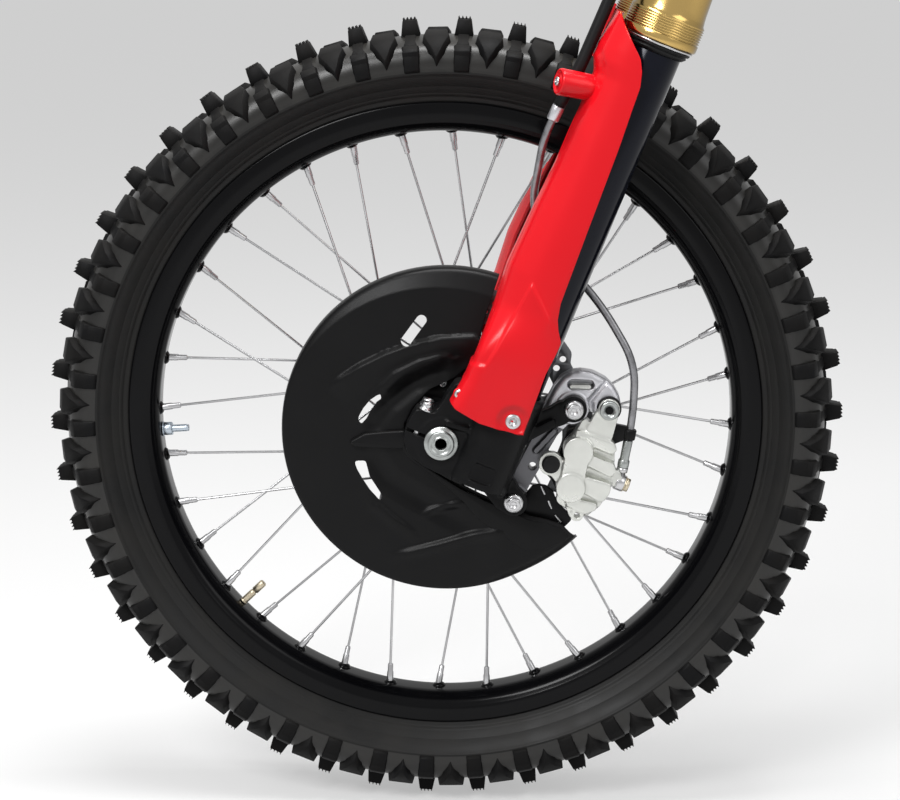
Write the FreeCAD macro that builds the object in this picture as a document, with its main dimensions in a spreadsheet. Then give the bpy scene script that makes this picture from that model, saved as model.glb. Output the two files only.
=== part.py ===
import FreeCAD, Part
import math
import os
import Sketcher

# Front end of a motocross bike: laced front wheel with a knobbly tyre, disc brake,
# upside-down fork with leg guards, lower yoke and steering stem.
# Millimetres. X runs backward, Y to the rider's right, Z up.
# The origin is on the steering stem, at the seat of its lower bearing.
# The stem and the legs lean back by the rake. Along a leg, "u" counts from the
# height of the wheel axle upward and "v" counts from the axle backward.

os.makedirs("parts", exist_ok=True)
doc = FreeCAD.newDocument("FrontEnd")
sheet = doc.addObject("Spreadsheet::Sheet", "dims")

DIMENSIONS = [
    ("rake", 21.4, "lean of stem and legs, degrees"),
    ("legOffset", 41.0, "axle to the plane of the legs, across them"),
    ("stemSetback", 23.0, "plane of the legs to the stem axis"),
    ("legHalfSpacing", 100.0, "middle plane to a leg axis"),
    ("seatHeight", 733.0, "axle to the lower bearing seat, along the stem"),
    ("runningFit", 0.3, "clearance between pieces that turn or slide"),
    ("cutOverrun", 2.0, "how far a cutting shape runs past what it cuts"),
    # tyre
    ("tyreBeadFit", 1.1, "beads above the rim's seats"),
    ("tyreLipRise", 2.5, "rim flange up to the sidewall above it"),
    ("tyreWallRise", 22.0, "rim flange up to where the sidewall is nearly widest"),
    ("tyreBeltRise", 36.0, "rim flange up to the sidewall below the shoulder"),
    ("tyreShoulderRise", 49.5, "rim flange up to the edge of the tread"),
    ("tyreCrownRise", 56.5, "rim flange up to the tread between the blocks"),
    ("tyreBulge", 17.5, "casing wider than the rim, each side"),
    ("tyreShoulderHalf", 33.0, "half of the tread's width"),
    ("tyreCrownHalf", 13.5, "half of the middle band"),
    ("tyreWall", 7.5, "casing thickness"),
    ("centreKnobHeight", 15.5, "middle blocks"),
    ("centreKnobWidth", 24.0, "middle blocks, across the tread"),
    ("treadKnobHeight", 11.5, "blocks beside the middle"),
    ("treadKnobWidth", 16.5, "blocks beside the middle, across the tread"),
    ("shoulderKnobHeight", 7.5, "shoulder blocks"),
    ("shoulderKnobWidth", 13.0, "shoulder blocks, across the tread"),
    ("tyrePhase", 2.5, "turn of the tread blocks, degrees"),
    # rim
    ("rimFlangeRadius", 281.0, "top of the rim flanges"),
    ("rimFlangeHeight", 13.5, "bead seat up to the top of the flange"),
    ("rimWellDepth", 7.5, "bead seat down to the well"),
    ("rimBedThick", 5.3, "well down to the inner face that carries the nipples"),
    ("rimHalfWidth", 24.0, "half of the width over the flanges"),
    ("rimFlangeThick", 3.7, "rim flanges"),
    ("rimBedHalf", 7.7, "half of the flat bed"),
    ("rimStepDrop", 2.0, "bead seat down to the step along each side"),
    # hub
    ("axleRadius", 12.0, "wheel axle"),
    ("hubBarrelWall", 9.0, "hub between the spoke flanges, outside the axle"),
    ("hubFlangeRadius", 48.0, "spoke flanges"),
    ("hubFlangeSpread", 30.0, "middle plane to a spoke flange"),
    ("hubFlangeThick", 6.0, "spoke flanges"),
    ("hubBossWall", 12.5, "bearing bosses, outside the axle"),
    ("hubLeftInset", 32.0, "left leg axis in to the left end of the hub"),
    ("hubRightInset", 44.0, "right leg axis in to the right end of the hub"),
    # spokes
    ("spokePairs", 18, "spokes on each side"),
    ("spokeRadius", 1.25, "spoke wire"),
    ("spokeHoleInset", 5.0, "edge of a hub flange in to its spoke holes"),
    ("lacingAngle", 62.0, "turn between the hub end and rim end, degrees"),
    ("nippleRadius", 3.0, "spoke nipples"),
    ("nippleLength", 17.0, "spoke nipples"),
    ("nippleOffset", 4.5, "nipples beside the middle plane"),
    ("valveAngle", -133.9, "turn from the top to the valve, degrees"),
    ("rimLockAngle", -93.6, "turn from the top to the rim lock, degrees"),
    ("valveRadius", 3.6, "valve stem and rim lock stud"),
    ("spokePhase", -8.9, "turn of the first nipple, degrees"),
    # disc
    ("discRadius", 130.0, "brake disc"),
    ("discBandWidth", 33.0, "braking band"),
    ("discThick", 3.0, "brake disc"),
    ("discInset", 40.0, "leg axis in to the disc's inner face"),
    ("discWaves", 12, "waves around the disc"),
    ("discWaveDepth", 3.5, "depth of a wave"),
    ("discWaveRadius", 22.0, "radius of a wave's hollow"),
    ("discHoleRadius", 3.6, "holes in the band"),
    ("discHoleInset", 11.0, "edge of the disc in to the ring of holes"),
    ("discBoltInset", 8.0, "edge of the disc's middle in to its bolts"),
    ("discBoltRadius", 4.0, "disc bolts"),
    ("discCarrierRadius", 50.0, "middle of the disc"),
    ("discSpokeWidth", 13.0, "arms between middle and band"),
    # legs
    ("innerTubeRadius", 23.5, "sliding tube"),
    ("innerTubeBottom", 4.0, "foot of the sliding tube"),
    ("innerTubeTop", 560.0, "top of the sliding tube"),
    ("outerTubeBottom", 380.0, "lower end of the outer tube"),
    ("outerTubeRise", 195.0, "bearing seat up to the upper end of the outer tube"),
    ("outerTubeWall", 5.5, "outer tube at the yokes, outside the sliding tube"),
    ("outerBellWall", 9.0, "outer tube at its lower end, outside the sliding tube"),
    ("outerBellLength", 27.0, "length of the wide lower end"),
    ("outerTaperLength", 26.0, "taper above it"),
    ("sealLength", 13.0, "dust seal"),
    ("sealWall", 6.0, "dust seal, outside the sliding tube"),
    ("clampTubeWall", 3.5, "outer tube where the upper yoke clamps it"),
    ("clampLength", 90.0, "length of that band"),
    ("capStep", 1.5, "fork cap, inside the band that is clamped"),
    ("capHeight", 14.0, "fork cap above the outer tube"),
    # axle lugs
    ("lugInset", 14.0, "leg axis in to the inner face of a lug"),
    ("lugOutset", 15.0, "leg axis out to the outer face of a lug"),
    ("lugAxleRadius", 32.0, "lug around the axle"),
    ("lugSocketWall", 4.0, "lug around the sliding tube"),
    ("lugSocketTop", 64.0, "upper end of the socket"),
    ("lugSocketBottom", -24.0, "lower end of the socket"),
    ("lugArmThick", 14.0, "arms that carry the brake"),
    ("lugArmRadius", 12.0, "ends of those arms"),
    ("screwForward", 2.0, "axle back to the leg guard's front screw"),
    ("screwFrontHeight", 49.0, "axle up to that screw"),
    ("screwBackward", 48.0, "axle back to the leg guard's rear screw"),
    ("screwRearHeight", 44.0, "axle up to that screw"),
    ("screwRadius", 2.2, "leg guard screws"),
    ("screwFrontHead", 4.2, "head of the front one"),
    ("screwRearHead", 6.8, "head of the rear one"),
    ("screwGrip", 3.0, "how deep they go into the lug"),
    ("pinchSlot", 3.0, "slot that the pinch bolts close"),
    ("pinchBoltRadius", 5.5, "pinch bolt heads"),
    ("pinchShankRadius", 3.0, "their shanks"),
    ("pinchDepth", 30.0, "how far they reach down into the lug"),
    ("pinchForward", 22.5, "axle forward to the pinch bolts"),
    ("pinchTop", 20.0, "axle up to the seat of their heads"),
    # axle
    ("axleHeadRim", 2.6, "head of the axle, outside the axle"),
    ("axleHeadLength", 6.0, "head of the axle outside the lug"),
    ("axleBoreRadius", 4.6, "bore through the axle"),
    ("axleNutRim", 5.0, "corners of the nut, outside the axle"),
    ("axleNutLength", 12.0, "axle nut"),
    ("spacerWall", 3.5, "wheel spacers, outside the axle"),
    # brake
    ("bracketBoltRadius", 8.6, "heads of the bracket bolts"),
    ("bracketThick", 7.7, "caliper bracket"),
    ("slidePinRadius", 5.0, "slide pins"),
    ("slideHeadRadius", 8.5, "head of the upper slide pin"),
    ("pistonBulgeRadius", 14.8, "bulge over a piston"),
    ("caliperOuterGap", 8.5, "disc's outer face to the outer half's inside"),
    ("caliperOuterThick", 20.0, "outer half"),
    ("caliperBulge", 8.0, "bulges beyond the outer half"),
    ("caliperInnerGap", 7.5, "disc's inner face to the inner half's inside"),
    ("caliperInnerThick", 10.5, "inner half"),
    ("padGap", 0.6, "pad to disc with the brake off"),
    # disc guard
    ("guardMargin", 13.0, "disc guard outside the disc"),
    ("guardGap", 8.5, "disc's outer face to the guard's flat inside"),
    ("guardWall", 2.6, "guard thickness"),
    ("guardBandWidth", 20.5, "bevelled band"),
    ("guardBevel", 8.0, "how far the band slopes inward"),
    ("guardLip", 9.0, "depth of the rolled edge"),
    # leg guards
    ("shieldWall", 3.0, "leg guard thickness"),
    ("shieldFrontGap", 20.0, "sliding tube forward to the guard's front"),
    ("shieldSideGap", 11.0, "sliding tube outward to the guard's side"),
    # yoke and stem
    ("yokeDrop", 23.0, "bearing seat down to the middle of the yoke"),
    ("yokeThick", 38.0, "lower yoke"),
    ("yokeClampWall", 9.5, "clamps around the legs"),
    ("yokeEarLength", 13.5, "ears behind the clamps"),
    ("yokeEarHalf", 15.0, "half of the width over the ears"),
    ("yokeSlot", 3.0, "slot between the ears"),
    ("yokeBoltRadius", 4.0, "bolts that close the slot"),
    ("yokeBoltInset", 7.5, "end of the ears in to their bolts"),
    ("yokeBoltSpread", 9.0, "middle of the yoke up and down to them"),
    ("stemRadius", 15.0, "stem above its bearing seat"),
    ("stemTopStep", 2.5, "upper end of the stem, inside the stem"),
    ("stemLength", 222.0, "bearing seat up to the top of the stem"),
    ("raceWidth", 9.0, "lower bearing, outside the stem"),
    ("raceHeight", 12.0, "lower bearing"),
    # hose
    ("hoseRadius", 3.5, "braided hose"),
    ("sheathRadius", 5.5, "sheath over the hose"),
    ("banjoRadius", 7.5, "banjo eyes at the ends of the hose"),
    ("banjoWidth", 8.0, "banjo eyes"),
    ("banjoNeck", 26.0, "upper banjo's sleeve and neck"),
]


class Size:
    """A number that remembers which cells of the sheet it comes from."""

    def __init__(self, value, formula):
        self.value = float(value)
        self.formula = formula

    def __float__(self):
        return self.value

    def __neg__(self):
        return Size(-self.value, "(-1 * %s)" % self.formula)

    def __add__(self, other):
        return Size(self.value + float(other), "(%s + %s)" % (self.formula, formulaOf(other)))

    def __sub__(self, other):
        return Size(self.value - float(other), "(%s - %s)" % (self.formula, formulaOf(other)))

    def __mul__(self, other):
        return Size(self.value * float(other), "(%s * %s)" % (self.formula, formulaOf(other)))

    def __truediv__(self, other):
        return Size(self.value / float(other), "(%s / %s)" % (self.formula, formulaOf(other)))


class Sizes:
    """The driving dimensions, one attribute for each."""


def formulaOf(number):
    return number.formula if isinstance(number, Size) else repr(float(number))


def regularShares(corners):
    """Corners of a regular polygon on a unit circle."""
    turns = [2 * math.pi * (i + 0.5) / corners for i in range(corners)]
    return [(math.cos(turn), math.sin(turn)) for turn in turns]


def cosOf(angle):
    return Size(math.cos(math.radians(angle.value)), "cos(%s)" % angle.formula)


def sinOf(angle):
    return Size(math.sin(math.radians(angle.value)), "sin(%s)" % angle.formula)


size = Sizes()
for row, (alias, value, note) in enumerate(DIMENSIONS, start=1):
    sheet.set("A%d" % row, note)
    sheet.set("B%d" % row, str(value))
    sheet.setAlias("B%d" % row, alias)
    setattr(size, alias, Size(value, "dims." + alias))
doc.recompute()

# lengths of the tread's blocks, in equal parts of the tyre's radius between them
CROWN_PARTS = 675
CENTRE_KNOB_PARTS = 31
TREAD_KNOB_PARTS = 41
SHOULDER_KNOB_PARTS = 25

# sizes and places that follow from those of their neighbours
size.rimSeatRadius = size.rimFlangeRadius - size.rimFlangeHeight
size.rimStepRadius = size.rimSeatRadius - size.rimStepDrop
size.rimWellRadius = size.rimSeatRadius - size.rimWellDepth
size.rimBedRadius = size.rimWellRadius - size.rimBedThick
size.rimInsideHalf = size.rimHalfWidth - size.rimFlangeThick
size.tyreBeadRadius = size.rimSeatRadius + size.tyreBeadFit
size.tyreLipRadius = size.rimFlangeRadius + size.tyreLipRise
size.tyreWallRadius = size.rimFlangeRadius + size.tyreWallRise
size.tyreBeltRadius = size.rimFlangeRadius + size.tyreBeltRise
size.tyreShoulderRadius = size.rimFlangeRadius + size.tyreShoulderRise
size.tyreCrownRadius = size.rimFlangeRadius + size.tyreCrownRise
size.tyreHalfWidth = size.rimHalfWidth + size.tyreBulge
size.centreKnobLength = size.tyreCrownRadius * CENTRE_KNOB_PARTS / CROWN_PARTS
size.treadKnobLength = size.tyreCrownRadius * TREAD_KNOB_PARTS / CROWN_PARTS
size.shoulderKnobLength = size.tyreCrownRadius * SHOULDER_KNOB_PARTS / CROWN_PARTS
size.yokeHeight = size.seatHeight - size.yokeDrop
size.stemTop = size.seatHeight + size.stemLength
size.outerTubeTop = size.seatHeight + size.outerTubeRise
size.spacerRadius = size.axleRadius + size.spacerWall
size.axleHeadRadius = size.axleRadius + size.axleHeadRim
size.axleNutRadius = size.axleRadius + size.axleNutRim
size.hubBarrelRadius = size.axleRadius + size.hubBarrelWall
size.hubBossRadius = size.axleRadius + size.hubBossWall
size.spokeHoleRadius = size.hubFlangeRadius - size.spokeHoleInset
size.hubLeftEnd = size.legHalfSpacing - size.hubLeftInset
size.hubRightEnd = size.legHalfSpacing - size.hubRightInset
size.lugInner = size.legHalfSpacing - size.lugInset
size.lugOuter = size.legHalfSpacing + size.lugOutset
size.lugSocketRadius = size.innerTubeRadius + size.lugSocketWall
size.outerTubeRadius = size.innerTubeRadius + size.outerTubeWall
size.outerBellRadius = size.innerTubeRadius + size.outerBellWall
size.sealRadius = size.innerTubeRadius + size.sealWall
size.clampTubeRadius = size.innerTubeRadius + size.clampTubeWall
size.capRadius = size.clampTubeRadius - size.capStep
size.shieldFront = size.innerTubeRadius + size.shieldFrontGap
size.shieldSide = size.innerTubeRadius + size.shieldSideGap
size.yokeClampRadius = size.outerTubeRadius + size.yokeClampWall
size.yokeEarReach = size.yokeClampRadius + size.yokeEarLength
size.yokeBoltReach = size.yokeEarReach - size.yokeBoltInset
size.raceRadius = size.stemRadius + size.raceWidth
size.stemTopRadius = size.stemRadius - size.stemTopStep
size.discPlane = size.legHalfSpacing - size.discInset
size.discInnerRadius = size.discRadius - size.discBandWidth
size.discHoleRing = size.discRadius - size.discHoleInset
size.discBoltRing = size.discCarrierRadius - size.discBoltInset
size.caliperOuterPlane = size.discPlane + size.discThick + size.caliperOuterGap
size.caliperInnerPlane = size.discPlane - size.caliperInnerGap
size.bracketPlane = size.lugInner - size.bracketThick - size.runningFit
size.guardRadius = size.discRadius + size.guardMargin
size.guardBandRadius = size.guardRadius - size.guardBandWidth
size.guardPlane = size.discPlane + size.discThick + size.guardGap

# places on the brake in v and u, as shares of the disc's radius
BRAKE_PLACE_SHARES = [
    ("upperBolt", 0.7308, 0.5077), ("lowerBolt", 0.6008, -0.2231), ("slidePin", 0.9508, 0.5869),
    ("pistonUpper", 0.8692, 0.25), ("pistonLower", 0.9146, 0.0062), ("boot", 0.734, 0.092)]
for spot, back, up in BRAKE_PLACE_SHARES:
    setattr(size, spot + "V", size.discRadius * back)
    setattr(size, spot + "U", size.discRadius * up)

pieces = []
LEFT, RIGHT = -1, 1
SIDE_NAMES = {LEFT: "left", RIGHT: "right"}


def bind(item, path, value):
    """Ties a property to the sheet."""
    item.setExpression(path, formulaOf(value))


def place(item, v, y, u, tilted=True):
    """Puts a piece's own origin at v, y, u, turned by the rake if it is tilted."""
    back = -(size.stemSetback + size.legOffset) + v
    up = -size.seatHeight + u
    turn = size.rake if tilted else 0
    item.Placement = FreeCAD.Placement(
        FreeCAD.Vector(), FreeCAD.Rotation(FreeCAD.Vector(0, 1, 0), float(size.rake)))
    bind(item, "Placement.Rotation.Angle", turn)
    bind(item, "Placement.Base.x", back * cosOf(size.rake) + up * sinOf(size.rake))
    bind(item, "Placement.Base.y", y)
    bind(item, "Placement.Base.z", up * cosOf(size.rake) - back * sinOf(size.rake))


def newBody(label, v=0, y=0, u=0, tilted=True):
    body = doc.addObject("PartDesign::Body", label)
    body.Label = label
    place(body, v, y, u, tilted)
    pieces.append(body)
    return body


def newShape(label, shape, v=0, y=0, u=0, tilted=True):
    item = doc.addObject("Part::Feature", label)
    item.Label = label
    item.Shape = shape
    place(item, v, y, u, tilted)
    pieces.append(item)
    return item


def newSketch(body, role, lift=0):
    """A sketch on one of the body's own planes, lifted along the plane's normal."""
    plane = [f for f in body.Origin.OriginFeatures if f.Role == role][0]
    sketch = body.newObject("Sketcher::SketchObject", body.Label + "_sketch")
    sketch.AttachmentSupport = [(plane, "")]
    sketch.MapMode = "FlatFace"
    bind(sketch, "AttachmentOffset.Base.z", lift)
    return sketch


def pin(sketch, kind, geometry, point, value):
    """Holds one coordinate of a point to the sheet."""
    index = sketch.addConstraint(Sketcher.Constraint(kind, -1, 1, geometry, point, float(value)))
    if isinstance(value, Size):
        sketch.setExpression("Constraints[%d]" % index, value.formula)


def drawPolygon(sketch, corners):
    first = sketch.GeometryCount
    spots = [FreeCAD.Vector(float(a), float(b), 0) for a, b in corners]
    count = len(spots)
    for i in range(count):
        sketch.addGeometry(Part.LineSegment(spots[i], spots[(i + 1) % count]))
    for i in range(count):
        after = first + (i + 1) % count
        sketch.addConstraint(Sketcher.Constraint("Coincident", first + i, 2, after, 1))
    for i, (a, b) in enumerate(corners):
        pin(sketch, "DistanceX", first + i, 1, a)
        pin(sketch, "DistanceY", first + i, 1, b)


def drawCircle(sketch, a, b, radius):
    spot = FreeCAD.Vector(float(a), float(b), 0)
    index = sketch.addGeometry(Part.Circle(spot, FreeCAD.Vector(0, 0, 1), float(radius)))
    pin(sketch, "DistanceX", index, 3, a)
    pin(sketch, "DistanceY", index, 3, b)
    held = sketch.addConstraint(Sketcher.Constraint("Radius", index, float(radius)))
    sketch.setExpression("Constraints[%d]" % held, formulaOf(radius))


def pad(body, sketch, length):
    feature = body.newObject("PartDesign::Pad", body.Label + "_pad")
    feature.Profile = sketch
    bind(feature, "Length", length)
    sketch.Visibility = False
    return feature


def pocket(body, sketch, length):
    """Cuts from the sketch along its normal."""
    feature = body.newObject("PartDesign::Pocket", body.Label + "_pocket")
    feature.Profile = sketch
    feature.Reversed = True
    bind(feature, "Length", length)
    sketch.Visibility = False
    return feature


def turned(body, sketch, axis, kind="Revolution"):
    feature = body.newObject("PartDesign::" + kind, body.Label + "_turned")
    feature.Profile = sketch
    feature.ReferenceAxis = (sketch, [axis])
    feature.Angle = 360
    sketch.Visibility = False
    return feature


def polar(body, feature, sketch, count):
    """Repeats a feature around the normal axis of its sketch's plane."""
    pattern = body.newObject("PartDesign::PolarPattern", body.Label + "_polar")
    pattern.Originals = [feature]
    pattern.Axis = (sketch, ["N_Axis"])
    pattern.Angle = 360
    bind(pattern, "Occurrences", count)
    body.Tip = pattern
    return pattern


def sidePlate(body, corners, inner, thick, side=LEFT):
    """A plate seen from the side: corners in v and u, from inner outward."""
    lift = inner if side == LEFT else -(inner + thick)
    sketch = newSketch(body, "XZ_Plane", lift)
    drawPolygon(sketch, corners)
    return pad(body, sketch, thick)


def sideDisc(body, a, b, radius, inner, thick, side=LEFT):
    lift = inner if side == LEFT else -(inner + thick)
    sketch = newSketch(body, "XZ_Plane", lift)
    drawCircle(sketch, a, b, radius)
    return pad(body, sketch, thick)


def sidePrism(body, a, b, radius, inner, thick, side=LEFT, corners=6):
    """A bar with a regular section, such as a bolt head, along Y."""
    shares = regularShares(corners)
    return sidePlate(body, [(radius * i + a, radius * j + b) for i, j in shares], inner, thick, side)


def sideHole(body, a, b, radius, inner, thick, side=LEFT):
    """A round hole through whatever lies between inner and inner + thick."""
    over = size.cutOverrun
    lift = (inner - over) if side == LEFT else -(inner + thick + over)
    sketch = newSketch(body, "XZ_Plane", lift)
    drawCircle(sketch, a, b, radius)
    return pocket(body, sketch, thick + over * 2)


def sideCut(body, corners, inner, thick, side=LEFT):
    over = size.cutOverrun
    lift = (inner - over) if side == LEFT else -(inner + thick + over)
    sketch = newSketch(body, "XZ_Plane", lift)
    drawPolygon(sketch, corners)
    return pocket(body, sketch, thick + over * 2)


def legColumn(label, profile, side, u=0):
    """A turned piece on a leg's axis, from a profile of radius and height."""
    y = size.legHalfSpacing * side
    body = newBody(label, size.legOffset, y, u)
    sketch = newSketch(body, "XZ_Plane")
    drawPolygon(sketch, profile)
    turned(body, sketch, "V_Axis")
    return body


def wheelTurned(label, profile):
    """A turned piece on the wheel axis, from a profile of y and radius."""
    body = newBody(label, tilted=False)
    sketch = newSketch(body, "YZ_Plane")
    drawPolygon(sketch, profile)
    turned(body, sketch, "H_Axis")
    return body


def mirrored(half):
    """A closed outline from its left half, given from low y to the middle."""
    return half + [(-a, b) for a, b in reversed(half)]


# Tyre: one closed casing of flat panels, with the blocks standing on the panels

TYRE_PITCHES = 46
# top of a block beside its foot: along the tread and across it
KNOB_TAPER_SHARES = (0.68, 0.8)


def tyreOutline():
    """The casing's outside from the left bead to the crown, as y and radius."""
    bead = size.rimInsideHalf - size.runningFit
    lower = (size.tyreLipRadius + size.tyreWallRadius) / 2
    return [
        (-bead, size.tyreBeadRadius),
        (-bead, size.tyreLipRadius),
        (-(bead + size.tyreHalfWidth) / 2, lower - size.tyreWall / 4),
        (-(size.tyreHalfWidth - size.tyreWall / 4), size.tyreWallRadius),
        (-size.tyreHalfWidth, size.tyreBeltRadius),
        (-size.tyreShoulderHalf, size.tyreShoulderRadius),
        (-size.tyreCrownHalf, size.tyreCrownRadius),
    ]


def tyreInside():
    """The casing's inside from the left bead to the crown."""
    bead = size.rimInsideHalf - size.runningFit
    return [
        (-(bead - size.tyreWall * 0.7), size.tyreBeadRadius),
        (-(bead - size.tyreWall * 0.7), size.tyreLipRadius),
        (-(size.tyreHalfWidth - size.tyreWall), size.tyreWallRadius),
        (-(size.tyreHalfWidth - size.tyreWall), size.tyreBeltRadius),
        (-size.tyreCrownHalf, size.tyreCrownRadius - size.tyreWall),
    ]


def onWheel(y, radius, angle):
    return FreeCAD.Vector(radius * math.sin(angle), y, radius * math.cos(angle))


def flatFace(points, hole=None):
    wires = [Part.makePolygon(points + points[:1])]
    if hole:
        wires.append(Part.makePolygon(hole + hole[:1]))
    return Part.Face(wires) if hole else Part.Face(wires[0])


def knobOnPanel(panel, share, length, width, height):
    """A tapered block on a panel: its wall and top faces, and the corners of its foot."""
    start = (panel[0] + panel[1]) * 0.5
    finish = (panel[3] + panel[2]) * 0.5
    along = (finish - start).normalize()
    across = (panel[1] - panel[0]).normalize()
    across = (across - along * across.dot(along)).normalize()
    outward = along.cross(across)
    if outward.dot(FreeCAD.Vector(start.x, 0, start.z)) < 0:
        outward = outward * -1
    middle = start + (finish - start) * share
    lean = FreeCAD.Vector(middle.x, 0, middle.z).normalize().dot(along)
    top = middle + outward * height + along * (lean * height)
    foot = []
    crest = []
    for i, j in ((-1, -1), (1, -1), (1, 1), (-1, 1)):
        forward = along * (i * length / 2)
        sideways = across * (j * width / 2)
        foot.append(middle + forward + sideways)
        crest.append(top + forward * KNOB_TAPER_SHARES[0] + sideways * KNOB_TAPER_SHARES[1])
    faces = [flatFace(crest)]
    for i in range(4):
        k = (i + 1) % 4
        faces.append(flatFace([foot[i], foot[k], crest[k], crest[i]]))
    return faces, foot


def panelFaces(outline, row, start, finish, knobs):
    """One panel of the casing between two angles, with its blocks."""
    (ya, ra), (yb, rb) = outline[row], outline[row + 1]
    panel = [onWheel(ya, ra, start), onWheel(yb, rb, start),
             onWheel(yb, rb, finish), onWheel(ya, ra, finish)]
    faces = []
    holes = []
    for share, length, width, height in knobs:
        block, foot = knobOnPanel(panel, share, length, width, height)
        faces += block
        holes.append(Part.makePolygon(foot + foot[:1]))
    faces.append(Part.Face([Part.makePolygon(panel + panel[:1])] + holes))
    return faces


def makeTyre():
    outside = [(float(a), float(b)) for a, b in mirrored(tyreOutline())]
    inside = [(float(a), float(b)) for a, b in mirrored(tyreInside())]
    pitch = 2 * math.pi / TYRE_PITCHES
    start = math.radians(float(size.tyrePhase)) - pitch / 4
    finish = start + pitch
    centre = (0.25, float(size.centreKnobLength), float(size.centreKnobWidth), float(size.centreKnobHeight))
    beside = (0.75, float(size.treadKnobLength), float(size.treadKnobWidth), float(size.treadKnobHeight))
    shoulder = (0.25, float(size.shoulderKnobLength), float(size.shoulderKnobWidth),
                float(size.shoulderKnobHeight))
    rows = {4: [shoulder], 5: [beside], 6: [centre], 7: [beside], 8: [shoulder]}
    faces = []
    for row in range(len(outside) - 1):
        faces += panelFaces(outside, row, start, finish, rows.get(row, []))
    for row in range(len(inside) - 1):
        faces += panelFaces(inside, row, start, finish, [])
    for k in (0, -1):
        faces += panelFaces([outside[k], inside[k]], 0, start, finish, [])
    ring = []
    for i in range(TYRE_PITCHES):
        for face in faces:
            copy = face.copy()
            copy.rotate(FreeCAD.Vector(), FreeCAD.Vector(0, 1, 0), math.degrees(i * pitch))
            ring.append(copy)
    sewn = Part.makeCompound(ring)
    sewn.sewShape()
    solid = Part.Solid(sewn.Shells[0])
    if solid.Volume < 0:
        solid.reverse()
    newShape("tyre", solid, tilted=False)


# Rim: turned, with a well, bead seats, flanges and a step along each side

def makeRim():
    wall = size.rimHalfWidth - size.rimInsideHalf
    half = [
        (-size.rimBedHalf, size.rimBedRadius),
        (-(size.rimHalfWidth - wall / 2), size.rimStepRadius - wall / 4),
        (-size.rimHalfWidth, size.rimStepRadius + wall / 2),
        (-size.rimHalfWidth, size.rimFlangeRadius - wall / 4),
        (-(size.rimHalfWidth - wall / 3), size.rimFlangeRadius),
        (-size.rimInsideHalf, size.rimFlangeRadius - wall / 4),
        (-size.rimInsideHalf, size.rimSeatRadius),
        (-(size.rimInsideHalf - wall * 2), size.rimSeatRadius - wall / 4),
        (-size.rimBedHalf - wall / 2, size.rimWellRadius),
    ]
    wheelTurned("rim", mirrored(half))


# Hub: turned barrel with two spoke flanges and a seat for the disc

def makeHub():
    bore = size.axleRadius + size.runningFit
    inner = size.hubFlangeSpread - size.hubFlangeThick / 2
    outer = size.hubFlangeSpread + size.hubFlangeThick / 2
    barrel = size.hubBarrelRadius
    boss = size.hubBossRadius
    flange = size.hubFlangeRadius
    carrier = size.discCarrierRadius
    seat = size.discPlane - size.hubFlangeThick
    wheelTurned("hub", [
        (-size.hubLeftEnd, bore), (-size.hubLeftEnd, boss),
        (-size.discPlane, boss), (-size.discPlane, carrier), (-seat, carrier),
        (-seat, boss), (-outer, boss), (-outer, flange), (-inner, flange), (-inner, barrel),
        (inner, barrel), (inner, flange), (outer, flange), (outer, boss),
        (size.hubRightEnd, boss), (size.hubRightEnd, bore)])


def spokeEnds(side, number):
    """Hub end, nipple foot and rim end of one spoke."""
    step = 2 * math.pi / (2 * float(size.spokePairs))
    place = 2 * number + (0 if side == LEFT else 1)
    angle = math.radians(float(size.spokePhase)) + place * step
    lean = math.radians(float(size.lacingAngle)) * (1 if number % 2 else -1)
    beside = float(size.hubFlangeThick) / 2 + float(size.spokeRadius) + float(size.runningFit)
    if number % 2:
        hubY = side * (float(size.hubFlangeSpread) + beside + float(size.spokeRadius) * 1.3)
    else:
        hubY = side * (float(size.hubFlangeSpread) - beside)
    rimY = side * float(size.nippleOffset)
    hub = onWheel(hubY, float(size.spokeHoleRadius), angle - lean)
    rim = onWheel(rimY, float(size.rimBedRadius) - float(size.nippleRadius) / 4, angle)
    along = (rim - hub).normalize()
    return hub, rim - along * float(size.nippleLength), rim


def prism(start, finish, radius, corners):
    """A straight bar with a regular section."""
    axis = finish - start
    turn = FreeCAD.Rotation(FreeCAD.Vector(0, 0, 1), axis)
    ring = []
    for i in range(corners):
        angle = 2 * math.pi * i / corners
        ring.append(start + turn.multVec(
            FreeCAD.Vector(radius * math.cos(angle), radius * math.sin(angle), 0)))
    return flatFace(ring).extrude(axis)


def makeSpokes(side):
    bars = []
    for number in range(int(float(size.spokePairs))):
        hub, foot, rim = spokeEnds(side, number)
        nipple = prism(foot, rim, float(size.nippleRadius), 6)
        bars.append(prism(hub, foot, float(size.spokeRadius), 6).fuse(nipple))
    newShape(SIDE_NAMES[side] + "_spokes", Part.makeCompound(bars), tilted=False)


# Brake disc: wavy band with holes, joined to its middle by six arms

DISC_ARMS = 6


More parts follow.
